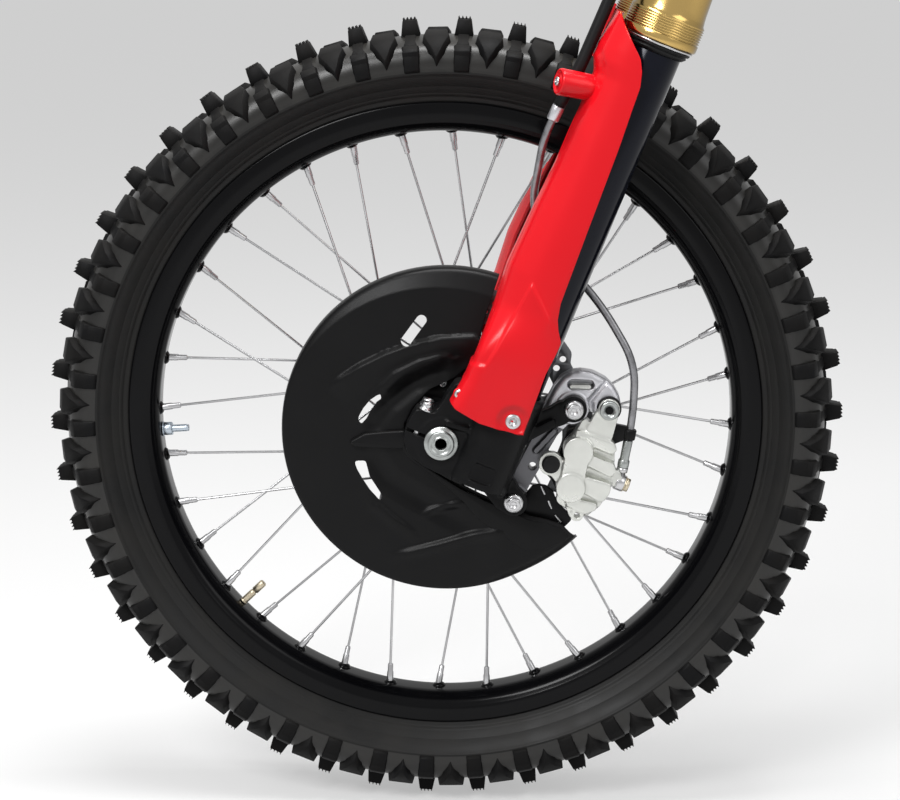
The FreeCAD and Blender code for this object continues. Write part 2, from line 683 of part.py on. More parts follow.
def makeDisc():
    body = newBody("brake_disc", tilted=False)
    plane = size.discPlane + size.runningFit
    band = newSketch(body, "XZ_Plane", plane)
    drawCircle(band, 0, 0, size.discRadius)
    drawCircle(band, 0, 0, size.discInnerRadius)
    pad(body, band, size.discThick)
    middle = newSketch(body, "XZ_Plane", plane)
    drawCircle(middle, 0, 0, size.discCarrierRadius)
    drawCircle(middle, 0, 0, size.hubBossRadius + size.runningFit)
    pad(body, middle, size.discThick)
    arm = newSketch(body, "XZ_Plane", plane)
    half = size.discSpokeWidth / 2
    reach = size.discInnerRadius + half / 2
    root = size.discCarrierRadius - half / 2
    drawPolygon(arm, [(-half, root), (half, root), (half * 2, reach), (0, reach)])
    doc.recompute()
    polar(body, pad(body, arm, size.discThick), arm, DISC_ARMS)
    over = size.cutOverrun
    wave = newSketch(body, "XZ_Plane", plane - over)
    drawCircle(wave, 0, size.discRadius + size.discWaveRadius - size.discWaveDepth, size.discWaveRadius)
    polar(body, pocket(body, wave, size.discThick + over * 2), wave, size.discWaves)
    hole = newSketch(body, "XZ_Plane", plane - over)
    drawCircle(hole, 0, size.discHoleRing, size.discHoleRadius)
    polar(body, pocket(body, hole, size.discThick + over * 2), hole, size.discWaves)


def makeDiscBolts():
    body = newBody("disc_bolts", tilted=False)
    sketch = newSketch(body, "XZ_Plane", size.discPlane + size.runningFit * 2 + size.discThick)
    head = size.discBoltRadius
    drawPolygon(sketch, [(head * i, size.discBoltRing + head * j) for i, j in regularShares(8)])
    body.AllowCompound = True
    polar(body, pad(body, sketch, head), sketch, DISC_ARMS)


def makeValve():
    """The valve's stem, and the nut and stud of the rim lock, inside the rim's bed."""
    radius = float(size.valveRadius)
    seat = float(size.rimBedRadius - size.runningFit)
    angle = math.radians(float(size.valveAngle))
    newShape("valve", prism(onWheel(0, seat, angle), onWheel(0, seat - radius * 7.5, angle), radius, 8),
             tilted=False)
    angle = math.radians(float(size.rimLockAngle))
    middle = onWheel(0, seat - radius * 2.5, angle)
    nut = prism(onWheel(0, seat, angle), middle, radius * 1.85, 6)
    stud = prism(middle, onWheel(0, seat - radius * 6.7, angle), radius, 8)
    newShape("rim_lock", nut.fuse(stud).removeSplitter(), tilted=False)


# Fork legs: sliding tube, dust seal, outer tube and cap

def makeLeg(side):
    name = SIDE_NAMES[side]
    fit = size.runningFit
    tube = size.innerTubeRadius
    bottom = size.outerTubeBottom
    legColumn(name + "_inner_tube", [
        (0, size.innerTubeBottom), (tube, size.innerTubeBottom),
        (tube, size.innerTubeTop), (0, size.innerTubeTop)], side)
    legColumn(name + "_dust_seal", [
        (tube + fit, -size.sealLength), (size.sealRadius, -size.sealLength / 2),
        (size.sealRadius, -fit), (tube + fit, -fit)], side, bottom)
    bell = size.outerBellRadius
    main = size.outerTubeRadius
    step = bottom + size.outerBellLength
    taper = step + size.outerTaperLength
    lip = size.sealLength / 2
    clamp = size.clampTubeRadius
    top = size.outerTubeTop
    neck = top - size.clampLength
    legColumn(name + "_outer_tube", [
        (tube + fit, bottom), (bell - lip / 4, bottom), (bell, bottom + lip / 4),
        (bell, step), (main, taper), (main, neck - lip / 2), (clamp, neck), (clamp, top),
        (tube + fit, top)], side)
    cap = size.capRadius
    legColumn(name + "_fork_cap", [
        (0, fit), (cap, fit), (cap, size.capHeight), (cap / 2, size.capHeight),
        (cap / 2, size.capHeight * 1.4), (0, size.capHeight * 1.4)], side, top)


# Axle lugs: the feet of the legs, clamping the axle; the left one carries the brake

# places of the two pinch bolts across a lug
PINCH_SHARES = (0.27, 0.77)


def makeLug(side):
    body = newBody(SIDE_NAMES[side] + "_axle_lug")
    over = size.cutOverrun
    inner = size.lugInner
    thick = size.lugOuter - size.lugInner
    around = size.lugAxleRadius
    back = size.legOffset + size.lugSocketRadius * 0.7
    low = size.lugSocketBottom
    sideDisc(body, 0, 0, around * 0.75, inner, thick, side)
    bolt = size.pinchBoltRadius
    ear = size.screwFrontHead * 1.5
    earTop = size.screwFrontHeight + ear
    sidePlate(body, [
        (-around, 0), (-around * 0.6, low), (around * 0.6, low * 1.15), (back, low * 1.1),
        (back, size.lugSocketTop * 0.75), (size.screwForward + ear, earTop),
        (size.screwForward - ear, earTop), (-size.pinchForward + bolt * 1.7, size.pinchTop),
        (-around, size.pinchTop)], inner, thick, side)
    seat = screwSeat()
    for v, u, head, root, out in shieldScrews():
        sidePrism(body, v, u, head * 0.9, root, seat - root, side, 8)
    if side == LEFT:
        arm = size.lugArmRadius
        depth = size.lugArmThick
        sidePlate(body, [
            (back - arm, size.upperBoltU - arm * 3.2),
            (size.upperBoltV + arm * 0.6, size.upperBoltU - arm * 0.75),
            (size.upperBoltV - arm * 0.5, size.upperBoltU + arm * 0.8), (back - arm, size.upperBoltU - arm)],
            inner, depth, side)
        sidePlate(body, [
            (back - arm, size.lowerBoltU + arm * 2.5), (back - arm, size.lowerBoltU + arm * 0.2),
            (size.lowerBoltV - arm * 0.2, size.lowerBoltU - arm * 0.9),
            (size.lowerBoltV + arm * 0.6, size.lowerBoltU + arm * 0.7)], inner, depth, side)
        sideDisc(body, size.upperBoltV, size.upperBoltU, arm, inner, depth, side)
        sideDisc(body, size.lowerBoltV, size.lowerBoltU, arm, inner, depth, side)
    # the socket is a turned column about the leg's own axis
    lean = newSketch(body, "XY_Plane", low)
    drawCircle(lean, size.legOffset, size.legHalfSpacing * side, size.lugSocketRadius)
    pad(body, lean, size.lugSocketTop - low)
    bore = newSketch(body, "XY_Plane", size.innerTubeBottom - size.runningFit)
    drawCircle(bore, size.legOffset, size.legHalfSpacing * side, size.innerTubeRadius + size.runningFit)
    pocket(body, bore, size.lugSocketTop - size.innerTubeBottom + size.cutOverrun)
    for v, u, head, root, out in shieldScrews():
        sideHole(body, v, u, size.screwRadius + size.runningFit, seat - size.screwGrip + size.cutOverrun,
                 size.screwGrip, side)
    relief = size.lugInner - size.hubLeftEnd
    sideHole(body, 0, 0, size.spacerRadius + size.cutOverrun, size.hubLeftEnd, relief - size.cutOverrun, side)
    sideHole(body, 0, 0, size.axleRadius + size.runningFit, inner, thick, side)
    gap = size.pinchSlot / 2
    sideCut(body, [
        (-around - size.cutOverrun, -gap), (0, -gap), (0, gap), (-around - size.cutOverrun, gap)],
        inner, thick, side)
    for share in PINCH_SHARES:
        shank = newSketch(body, "XY_Plane", size.pinchTop - size.pinchDepth)
        drawCircle(shank, -size.pinchForward, (inner + thick * share) * side,
                   size.pinchShankRadius + size.runningFit)
        pocket(body, shank, size.pinchDepth + over)
    if side == LEFT:
        bolt = size.bracketBoltRadius / 2 + size.runningFit
        sideHole(body, size.upperBoltV, size.upperBoltU, bolt, inner, depth, side)
        sideHole(body, size.lowerBoltV, size.lowerBoltU, bolt, inner, depth, side)


def makePinchBolts():
    """Two bolts for each lug, heads up, on the ears in front of the axle."""
    bolts = []
    radius = float(size.pinchBoltRadius)
    width = float(size.lugOuter) - float(size.lugInner)
    base = float(size.pinchTop) + float(size.runningFit)
    shankRadius = float(size.pinchShankRadius)
    depth = float(size.pinchDepth)
    for side in (LEFT, RIGHT):
        for share in PINCH_SHARES:
            y = side * (float(size.lugInner) + width * share)
            seat = FreeCAD.Vector(-float(size.pinchForward), y, base)
            rise = FreeCAD.Vector(0, 0, radius)
            flange = prism(seat, seat + rise * 0.35, radius * 1.2, 12)
            head = prism(seat, seat + rise * 1.3, radius, 6)
            shank = prism(seat - FreeCAD.Vector(0, 0, depth), seat, shankRadius, 8)
            bolts.append(flange.fuse(head).fuse(shank).removeSplitter())
    newShape("pinch_bolts", Part.makeCompound(bolts))


# Axle, nut and spacers

def makeAxle():
    bore = size.axleBoreRadius
    out = size.lugOuter + size.runningFit
    wheelTurned("axle", [
        (-(out + size.axleHeadLength), bore), (-(out + size.axleHeadLength), size.axleHeadRadius * 0.75),
        (-(out + size.axleHeadLength * 0.7), size.axleHeadRadius * 0.75),
        (-(out + size.axleHeadLength * 0.5), size.axleHeadRadius), (-out, size.axleHeadRadius),
        (-out, size.axleRadius), (out + size.axleNutLength, size.axleRadius),
        (out + size.axleNutLength, bore)])


def makeAxleNut():
    body = newBody("axle_nut", tilted=False)
    inner = size.lugOuter + size.runningFit
    sidePrism(body, 0, 0, size.axleNutRadius, inner, size.axleNutLength * 0.8, RIGHT)
    sideHole(body, 0, 0, size.axleRadius + size.runningFit, inner, size.axleNutLength, RIGHT)


def makeSpacers():
    bore = size.axleRadius + size.runningFit
    outer = size.lugInner - size.runningFit
    left = size.hubLeftEnd + size.runningFit
    right = size.hubRightEnd + size.runningFit
    radius = size.spacerRadius
    wheelTurned("left_spacer", [(-outer, bore), (-outer, radius), (-left, radius), (-left, bore)])
    wheelTurned("right_spacer", [(right, bore), (right, radius), (outer, radius), (outer, bore)])


# Brake: bracket on the lug's arms, two-piston caliper astride the disc, pads and pins

def shared(shares, unit):
    """An outline given as shares of one size."""
    return [(unit * a, unit * b) for a, b in shares]


# outlines in v and u, as shares of the disc's radius
BRACKET_SHARES = [
    (0.523, -0.262), (0.538, 0.0), (0.569, 0.438), (0.565, 0.557), (0.632, 0.694), (0.746, 0.762),
    (0.865, 0.766), (0.975, 0.695), (1.027, 0.621), (1.015, 0.53), (0.90, 0.523), (0.831, 0.508),
    (0.75, 0.40), (0.727, 0.30), (0.723, 0.077), (0.708, -0.154), (0.677, -0.277)]
BRACKET_SLOT_SHARES = [(0.70, 0.655), (0.76, 0.69), (0.87, 0.69), (0.87, 0.655), (0.77, 0.65), (0.71, 0.62)]
CALIPER_OUTER_SHARES = [
    (0.775, 0.34), (0.823, 0.20), (0.823, 0.02), (0.862, -0.138), (1.031, -0.169), (1.092, -0.169),
    (1.154, -0.046), (1.172, 0.112), (1.123, 0.277), (1.077, 0.385), (0.985, 0.462), (0.86, 0.455)]
CALIPER_INNER_SHARES = [
    (0.80, 0.354), (0.80, 0.231), (0.831, 0.0), (0.892, -0.108), (1.046, -0.108), (1.092, -0.169),
    (1.154, -0.046), (1.172, 0.112), (1.123, 0.277), (1.077, 0.385), (1.008, 0.446), (0.862, 0.431)]
CALIPER_BRIDGE_SHARES = [
    (1.046, -0.108), (1.092, -0.169), (1.154, -0.046), (1.172, 0.112), (1.123, 0.277), (1.077, 0.385),
    (1.008, 0.446), (0.985, 0.338), (1.023, 0.185), (1.046, 0.031)]
PAD_SHARES = [
    (0.77, 0.323), (0.777, -0.015), (0.846, -0.077), (0.969, -0.062), (0.962, 0.154), (0.931, 0.292),
    (0.815, 0.354)]


def makeBracket():
    body = newBody("caliper_bracket")
    plane = size.bracketPlane
    thick = size.bracketThick
    boss = size.lugArmRadius
    sidePlate(body, shared(BRACKET_SHARES, size.discRadius), plane, thick)
    sideDisc(body, size.upperBoltV, size.upperBoltU, boss, plane, thick)
    sideDisc(body, size.lowerBoltV, size.lowerBoltU, boss, plane, thick)
    sideDisc(body, size.slidePinV, size.slidePinU, size.slideHeadRadius, plane, thick)
    sideDisc(body, size.bootV, size.bootU, size.slideHeadRadius, plane, thick)
    fit = size.runningFit
    hole = size.bracketBoltRadius / 2 + fit
    sideHole(body, size.upperBoltV, size.upperBoltU, hole, plane, thick)
    sideHole(body, size.lowerBoltV, size.lowerBoltU, hole, plane, thick)
    sideHole(body, size.slidePinV, size.slidePinU, size.slidePinRadius + fit, plane, thick)
    sideHole(body, size.bootV, size.bootU, size.slidePinRadius + fit, plane, thick)
    sideCut(body, shared(BRACKET_SLOT_SHARES, size.discRadius), plane, thick)


def makeBracketBolts():
    """Flange bolts through the lug's arms into the bracket."""
    body = newBody("bracket_bolts")
    body.AllowCompound = True
    seat = size.lugInner + size.lugArmThick + size.runningFit
    root = size.bracketPlane
    radius = size.bracketBoltRadius
    for v, u in ((size.upperBoltV, size.upperBoltU), (size.lowerBoltV, size.lowerBoltU)):
        sidePrism(body, v, u, radius / 2, root, seat - root + radius * 0.8)
        sidePrism(body, v, u, radius, seat, radius * 0.35, corners=12)
        sidePrism(body, v, u, radius * 0.75, seat, radius * 0.8)


def makeCaliper():
    body = newBody("caliper")
    outer = size.caliperOuterPlane
    thick = size.caliperOuterThick
    inner = size.caliperInnerPlane - size.caliperInnerThick
    unit = size.discRadius
    fit = size.runningFit
    sidePlate(body, shared(CALIPER_OUTER_SHARES, unit), outer, thick)
    sidePlate(body, shared(CALIPER_BRIDGE_SHARES, unit), inner, outer + thick / 2 - inner)
    sidePlate(body, shared(CALIPER_INNER_SHARES, unit), inner, size.caliperInnerThick)
    bulge = thick + size.caliperBulge
    sideDisc(body, size.pistonUpperV, size.pistonUpperU, size.pistonBulgeRadius, outer, bulge)
    sideDisc(body, size.pistonLowerV, size.pistonLowerU, size.pistonBulgeRadius, outer, bulge)
    ear = size.bracketPlane + size.bracketThick + fit * 2
    earThick = size.caliperBulge
    head = size.slideHeadRadius
    sidePlate(body, [
        (size.slidePinV - head, size.slidePinU), (size.slidePinV - head, size.discRadius * 0.42),
        (size.slidePinV + head * 1.4, size.discRadius * 0.38), (size.slidePinV + head, size.slidePinU)],
        ear, earThick)
    sideDisc(body, size.slidePinV, size.slidePinU, head, ear, earThick)
    sidePlate(body, [
        (size.bootV, size.bootU - head), (size.pistonLowerV, size.bootU - head),
        (size.pistonUpperV, size.bootU + head),
        (size.bootV, size.bootU + head)], ear, earThick)
    sideDisc(body, size.bootV, size.bootU, head, ear, earThick)
    sideHole(body, size.slidePinV, size.slidePinU, size.slidePinRadius + fit, ear, earThick)
    sideHole(body, size.bootV, size.bootU, size.slidePinRadius + fit, ear, earThick)


def makeCaliperPins():
    body = newBody("caliper_pins")
    body.AllowCompound = True
    root = size.bracketPlane
    seat = size.bracketPlane + size.bracketThick + size.runningFit * 3 + size.caliperBulge
    head = size.slideHeadRadius
    for v, u in ((size.slidePinV, size.slidePinU), (size.bootV, size.bootU)):
        sidePrism(body, v, u, size.slidePinRadius, root, seat - root + head / 2, corners=8)
        sidePrism(body, v, u, head, seat, head / 2, corners=8)


def makePads():
    body = newBody("brake_pads")
    body.AllowCompound = True
    disc = size.discPlane + size.runningFit
    shares = shared(PAD_SHARES, size.discRadius)
    sidePlate(body, shares, disc + size.discThick + size.padGap,
              size.caliperOuterPlane - size.runningFit - disc - size.discThick - size.padGap)
    inner = size.caliperInnerPlane + size.runningFit
    sidePlate(body, shares, inner, disc - size.padGap - inner)


# Disc guard: a turned dish with the sector at the leg and caliper left open

# outlines in x and z, as shares of the guard's radius
GUARD_OPENING_SHARES = [
    (-0.234, -0.052), (-0.136, -0.194), (0.059, -0.304), (0.229, -0.377), (0.355, -0.425),
    (0.517, -0.512), (0.72, -0.591), (0.825, -0.678), (1.12, -0.91), (1.4, 0.0), (1.12, 1.12),
    (0.374, 1.06), (0.266, 0.755), (0.182, 0.434), (-0.017, 0.309), (-0.234, 0.072)]
GUARD_SLOT_SHARES = [
    [(-0.289, 0.521), (-0.115, 0.728), (-0.08, 0.699), (-0.255, 0.492)],
    [(-0.526, 0.03), (-0.40, 0.24), (-0.362, 0.222), (-0.486, 0.015)],
    [(-0.55, -0.20), (-0.487, -0.20), (-0.37, -0.41), (-0.395, -0.43)]]


def makeDiscGuard():
    body = newBody("disc_guard", tilted=False)
    wall = size.guardWall
    rim = size.guardRadius
    band = size.guardBandRadius
    flat = size.guardPlane
    slope = flat - size.guardBevel
    lip = slope - size.guardLip
    sketch = newSketch(body, "YZ_Plane")
    drawPolygon(sketch, [
        (-lip, rim), (-(slope + wall / 2), rim), (-(flat + wall), band), (-(flat + wall), wall),
        (-flat, wall), (-flat, band), (-slope, rim - wall), (-lip, rim - wall)])
    turned(body, sketch, "H_Axis")
    depth = flat + wall * 2 - lip
    rib = newSketch(body, "XZ_Plane", flat + wall / 2)
    drawPolygon(rib, [
        (-rim * 0.53, -rim * 0.05), (-rim * 0.2, -rim * 0.075), (-rim * 0.2, rim * 0.015),
        (-rim * 0.5, -rim * 0.01)])
    pad(body, rib, size.lugInner - size.runningFit - flat - wall / 2)
    over = size.cutOverrun
    opening = newSketch(body, "XZ_Plane", lip - over)
    drawPolygon(opening, shared(GUARD_OPENING_SHARES, rim))
    pocket(body, opening, depth + over * 2)
    for shares in GUARD_SLOT_SHARES:
        slot = newSketch(body, "XZ_Plane", flat - over)
        drawPolygon(slot, shared(shares, rim))
        pocket(body, slot, wall + over * 2)


# Leg guards: moulded shells around the front and outside of each leg

# sections relative to the leg's axis: back and outward, as shares of front and side reach
LOW_SECTION_SHARES = [(-0.86, -0.56), (-0.97, -0.20), (-1.0, 0.35), (-0.98, 0.8), (-0.8, 1.0),
                      (-0.3, 1.05), (0.25, 1.05), (0.62, 1.0)]
LEFT_SECTION_SHARES = [(-0.86, -0.56), (-0.97, -0.20), (-1.0, 0.12), (-0.86, 0.58), (-0.5, 0.90),
                       (-0.05, 1.0), (0.25, 1.0), (0.45, 0.96)]
RIGHT_SECTION_SHARES = [(-0.86, -0.56), (-0.97, -0.20), (-1.0, 0.12), (-0.86, 0.58), (-0.5, 0.90),
                        (0.05, 1.0), (0.72, 0.92), (1.3, 0.62)]
# height share of each section with its growth
SHIELD_STATION_SHARES = [(0.07, 1.08), (0.24, 1.05), (0.35, 1.0), (0.7, 1.0), (1.06, 0.98)]
LOW_STATIONS = 2
# side outline, back from the leg axis as a share of the front reach, height as a share
SHIELD_OUTLINE_SHARES = [
    (-1.2, 0.112), (-0.9, 0.094), (-0.42, 0.085), (0.28, 0.093), (0.43, 0.1), (0.43, 0.13), (0.38, 0.243),
    (0.44, 0.316), (0.22, 0.349), (0.13, 0.40), (0.09, 0.574), (0.04, 0.76), (-0.02, 0.848), (-0.02, 0.898),
    (-0.11, 0.928), (-0.23, 0.953), (-0.56, 0.987), (-0.79, 1.012), (-0.97, 1.03), (-1.2, 1.0)]
RIGHT_OUTLINE_SHARES = [
    (-1.2, 0.112), (-0.9, 0.094), (-0.42, 0.085), (0.28, 0.093), (0.43, 0.1), (0.43, 0.13), (0.38, 0.243),
    (0.44, 0.316), (0.62, 0.40), (0.88, 0.55), (1.0, 0.7), (0.96, 0.80), (0.7, 0.87), (0.3, 0.92),
    (-0.23, 0.965), (-0.56, 0.987), (-0.79, 1.012), (-0.97, 1.03), (-1.2, 1.0)]


def shieldWire(shares, grow, side, u, hollow=True):
    """One closed section of the shell at height u, or of the space it closes in."""
    front = float(size.shieldFront) * grow
    reach = float(size.shieldSide) * grow
    wall = float(size.shieldWall)
    outside = [(a * (front if a < 0 else reach), b * reach) for a, b in shares]
    inside = []
    last = len(outside) - 1
    for i, (a, b) in enumerate(outside):
        da = outside[min(i + 1, last)][0] - outside[max(i - 1, 0)][0]
        db = outside[min(i + 1, last)][1] - outside[max(i - 1, 0)][1]
        long = math.hypot(da, db)
        inside.append((a + wall * db / long, b - wall * da / long))
    ring = outside + inside[::-1] if hollow else outside
    corners = [FreeCAD.Vector(a, side * b, u) for a, b in ring]
    return Part.makePolygon(corners + corners[:1])


def makeShield(side):
    top = float(size.outerTubeBottom)
    high = LEFT_SECTION_SHARES if side == LEFT else RIGHT_SECTION_SHARES
    shapes = []
    for i, (share, grow) in enumerate(SHIELD_STATION_SHARES):
        section = LOW_SECTION_SHARES if i < LOW_STATIONS else high
        shapes.append((section, grow, side, top * share))
    shell = Part.makeLoft([shieldWire(*shape) for shape in shapes], True, True)
    outline = SHIELD_OUTLINE_SHARES if side == LEFT else RIGHT_OUTLINE_SHARES
    front = float(size.shieldFront)
    reach = front * 2
    corners = [FreeCAD.Vector(a * front, -reach, b * top) for a, b in outline]
    shell = shell.common(flatFace(corners).extrude(FreeCAD.Vector(0, reach * 2, 0)))
    # the front wall ends above the lug, the side runs down outside it
    fit = float(size.runningFit)
    gap = float(size.lugOuter - size.legHalfSpacing) + fit * 3
    low = float(size.lugSocketTop) * 0.9
    relief = Part.makeBox(reach * 2, reach + gap, low, FreeCAD.Vector(-reach, -reach, 0))
    if side == LEFT:
        relief = Part.makeBox(reach * 2, reach + gap, low, FreeCAD.Vector(-reach, -gap, 0))
    shell = shell.cut(relief)
    # bosses reach in to the lug, with a flat recess for each screw head
    legY = float(size.legHalfSpacing)
    lateral = FreeCAD.Vector(0, side, 0)
    start = float(screwSeat()) + fit - legY
    envelope = Part.makeLoft([shieldWire(*shape, hollow=False) for shape in shapes], True, True)
    for v, u, head, root, out in shieldScrews():
        foot = FreeCAD.Vector(float(v - size.legOffset), side * start, float(u))
        boss = prism(foot, foot + lateral * front, float(head) + fit * 8, 8)
        shell = shell.fuse(boss.common(envelope))
    for v, u, head, root, out in shieldScrews():
        floor = FreeCAD.Vector(float(v - size.legOffset), side * (float(out) - legY), float(u))
        foot = FreeCAD.Vector(floor.x, 0, floor.z)
        shell = shell.cut(prism(floor, floor + lateral * front, float(head) + fit * 2, 8))
        shell = shell.cut(prism(foot, foot + lateral * reach, float(size.screwRadius) + fit * 2, 8))
    if side == LEFT:
        shell = shell.fuse(clampBoss())
    newShape(SIDE_NAMES[side] + "_leg_guard", shell, size.legOffset, size.legHalfSpacing * side)


def screwSeat():
    """Middle plane to where the leg guard's bosses meet the lug's."""
    return size.legHalfSpacing + size.lugSocketRadius


def shieldScrews():
    """Each leg guard screw: place, head, where its boss on the lug starts and where the head sits."""
    return [(size.screwForward, size.screwFrontHeight, size.screwFrontHead,
             size.lugOuter - size.screwRearHead, size.legHalfSpacing + size.shieldSide * 0.88),
            (size.screwBackward, size.screwRearHeight, size.screwRearHead,
             size.legHalfSpacing + size.innerTubeRadius + size.runningFit * 2,
             size.legHalfSpacing + size.shieldSide * 0.98)]


ROUND_CORNERS = 16


def clampBoss():
    """The round boss on the guard's front that clamps the hose."""
    radius = float(size.sheathRadius) * 2.03
    front = float(size.shieldFront)
    reach = front * 0.6
    height = float(size.outerTubeBottom) * 0.85
    start = FreeCAD.Vector(-front * 1.46, -float(size.shieldSide) * 0.58, height)
    return prism(start, start + FreeCAD.Vector(reach, 0, 0), radius, ROUND_CORNERS)


def makeGuardScrews():
    screws = []
    fit = float(size.runningFit)
    tip = float(screwSeat() - size.screwGrip) + fit * 2
    for side in (LEFT, RIGHT):
        lateral = FreeCAD.Vector(0, side, 0)
        for v, u, head, root, out in shieldScrews():
            seat = float(out) + fit
            spot = FreeCAD.Vector(float(v), 0, float(u))
            shaft = prism(spot + lateral * tip, spot + lateral * seat, float(size.screwRadius), 6)
            top = spot + lateral * (seat + float(size.screwRadius))
            screws.append(shaft.fuse(prism(spot + lateral * seat, top, float(head), 8)).removeSplitter())
    newShape("guard_screws", Part.makeCompound(screws))


# Lower yoke and steering stem

def block(start, finish, middle, half):
    """Corners of a rectangle in v and y."""
    return [(start, middle - half), (finish, middle - half), (finish, middle + half), (start, middle + half)]


def makeYoke():
    body = newBody("lower_yoke", 0, 0, size.yokeHeight - size.yokeThick / 2)
    clamp = size.yokeClampRadius
    across = size.legHalfSpacing
    stemV = size.legOffset + size.stemSetback
    deck = newSketch(body, "XY_Plane")
    drawPolygon(deck, [
        (size.legOffset - clamp * 0.55, -across), (size.legOffset + clamp * 0.8, -across),
        (stemV + clamp * 0.75, -clamp), (stemV + clamp * 0.75, clamp),
        (size.legOffset + clamp * 0.8, across), (size.legOffset - clamp * 0.55, across),
        (stemV - clamp * 1.05, clamp), (stemV - clamp * 1.05, -clamp)])
    pad(body, deck, size.yokeThick)
    for side in (LEFT, RIGHT):
        ring = newSketch(body, "XY_Plane")
        drawCircle(ring, size.legOffset, across * side, clamp)
        pad(body, ring, size.yokeThick)
        ears = newSketch(body, "XY_Plane")
        drawPolygon(ears, block(size.legOffset, size.legOffset + size.yokeEarReach,
                                across * side, size.yokeEarHalf))
        pad(body, ears, size.yokeThick)
    over = size.cutOverrun
    for side in (LEFT, RIGHT):
        bore = newSketch(body, "XY_Plane", -over)
        drawCircle(bore, size.legOffset, across * side, size.outerTubeRadius + size.runningFit)
        pocket(body, bore, size.yokeThick + over * 2)
        slot = newSketch(body, "XY_Plane", -over)
        drawPolygon(slot, block(size.legOffset, size.legOffset + size.yokeEarReach + over,
                                across * side, size.yokeSlot / 2))
        pocket(body, slot, size.yokeThick + over * 2)
        for spread in (-size.yokeBoltSpread, size.yokeBoltSpread):
            sideHole(body, size.legOffset + size.yokeBoltReach, size.yokeThick / 2 + spread,
                     size.yokeBoltRadius + size.runningFit, size.legHalfSpacing - size.yokeEarHalf,
                     size.yokeEarHalf * 2, side)
    stem = newSketch(body, "XY_Plane", -over)
    drawCircle(stem, stemV, 0, size.raceRadius * 0.75 + size.runningFit)
    pocket(body, stem, size.yokeThick + over * 2)


def makeYokeBolts():
    """Two bolts through the ears of each clamp, with their heads outward."""
    radius = float(size.yokeBoltRadius)
    reach = float(size.yokeEarHalf) * 1.8
    seat = float(size.legHalfSpacing + size.yokeEarHalf + size.runningFit)
    bolts = []
    for side in (LEFT, RIGHT):
        for spread in (-size.yokeBoltSpread, size.yokeBoltSpread):
            spot = FreeCAD.Vector(float(size.legOffset + size.yokeBoltReach), side * seat,
                                  float(size.yokeHeight + spread))
            outward = FreeCAD.Vector(0, side * radius, 0)
            head = prism(spot, spot + outward * 2, radius * 1.7, 8)
            shank = prism(spot - outward.normalize() * reach, spot, radius, 8)
            bolts.append(head.fuse(shank).removeSplitter())
    newShape("yoke_bolts", Part.makeCompound(bolts))


def makeStem():
    body = newBody("steering_stem", size.legOffset + size.stemSetback, 0, 0)
    low = size.yokeHeight - size.yokeThick / 2
    root = size.raceRadius * 0.75
    lip = size.yokeHeight + size.yokeThick / 2 + size.runningFit
    step = size.stemTop - size.raceHeight * 3
    sketch = newSketch(body, "XZ_Plane")
    drawPolygon(sketch, [
        (size.stemRadius * 0.6, low), (root, low), (root, lip), (size.raceRadius, lip),
        (size.raceRadius, size.seatHeight), (size.stemRadius, size.seatHeight), (size.stemRadius, step),
        (size.stemTopRadius, step + size.runningFit * 5), (size.stemTopRadius, size.stemTop),
        (size.stemRadius * 0.6, size.stemTop)])
    turned(body, sketch, "V_Axis")


# Brake hose: clipped to the leg guard and the lower yoke over its whole length

# points of the route: v and u as shares of the named size, y as a share of the leg's spacing
CALIPER_ROUTE_SHARES = [
    (1.1938, -0.80, 0.2431), (1.1231, -0.83, 0.5846), (0.9962, -0.875, 0.9308), (0.6154, -0.81, 1.2231)]
GUARD_ROUTE_SHARES = [
    (0.0697, -0.63, 0.4763), (-0.0079, -0.71, 0.5579), (-0.0376, -0.98, 0.7053), (-0.0382, -1.01, 0.7895)]
LEG_ROUTE_SHARES = [
    (-0.0382, -1.0105, 0.7908), (-0.0386, -1.034, 0.8566), (-0.0245, -1.042, 1.0526),
    (-0.02, -1.065, 1.4737)]
YOKE_ROUTE_SHARES = [(-0.0107, -1.05, 0.9859), (-0.012, -1.03, 1.0634)]
ROUTE_TURN_SHARE = 0.45


def routePoints(shares, unit):
    apart = float(size.legHalfSpacing)
    return [FreeCAD.Vector(a * float(unit), b * apart, c * float(unit)) for a, b, c in shares]


def hoseRoute():
    low = routePoints(CALIPER_ROUTE_SHARES, size.discRadius)
    return low + routePoints(GUARD_ROUTE_SHARES, size.outerTubeBottom)


def sheathRoute():
    low = routePoints(LEG_ROUTE_SHARES, size.outerTubeBottom)
    return low + routePoints(YOKE_ROUTE_SHARES, size.yokeHeight)


def routeWire(spots):
    """Straight runs joined by tangent arcs, as wide as each pair of runs allows."""
    edges = []
    radii = []
    last = spots[0]
    for i in range(1, len(spots) - 1):
        back = spots[i - 1] - spots[i]
        ahead = spots[i + 1] - spots[i]
        setback = ROUTE_TURN_SHARE * min(back.Length, ahead.Length)
        turn = math.pi - back.getAngle(ahead)
        radius = setback / math.tan(turn / 2)
        radii.append(radius)
        back.normalize()
        ahead.normalize()
        enter = spots[i] + back * setback
        leave = spots[i] + ahead * setback
        bisector = (back + ahead).normalize()
        centre = spots[i] + bisector * (radius / math.cos(turn / 2))
        edges.append(Part.LineSegment(last, enter).toShape())
        edges.append(Part.Arc(enter, centre - bisector * radius, leave).toShape())
        last = leave
    edges.append(Part.LineSegment(last, spots[-1]).toShape())
    return Part.Wire(edges), radii


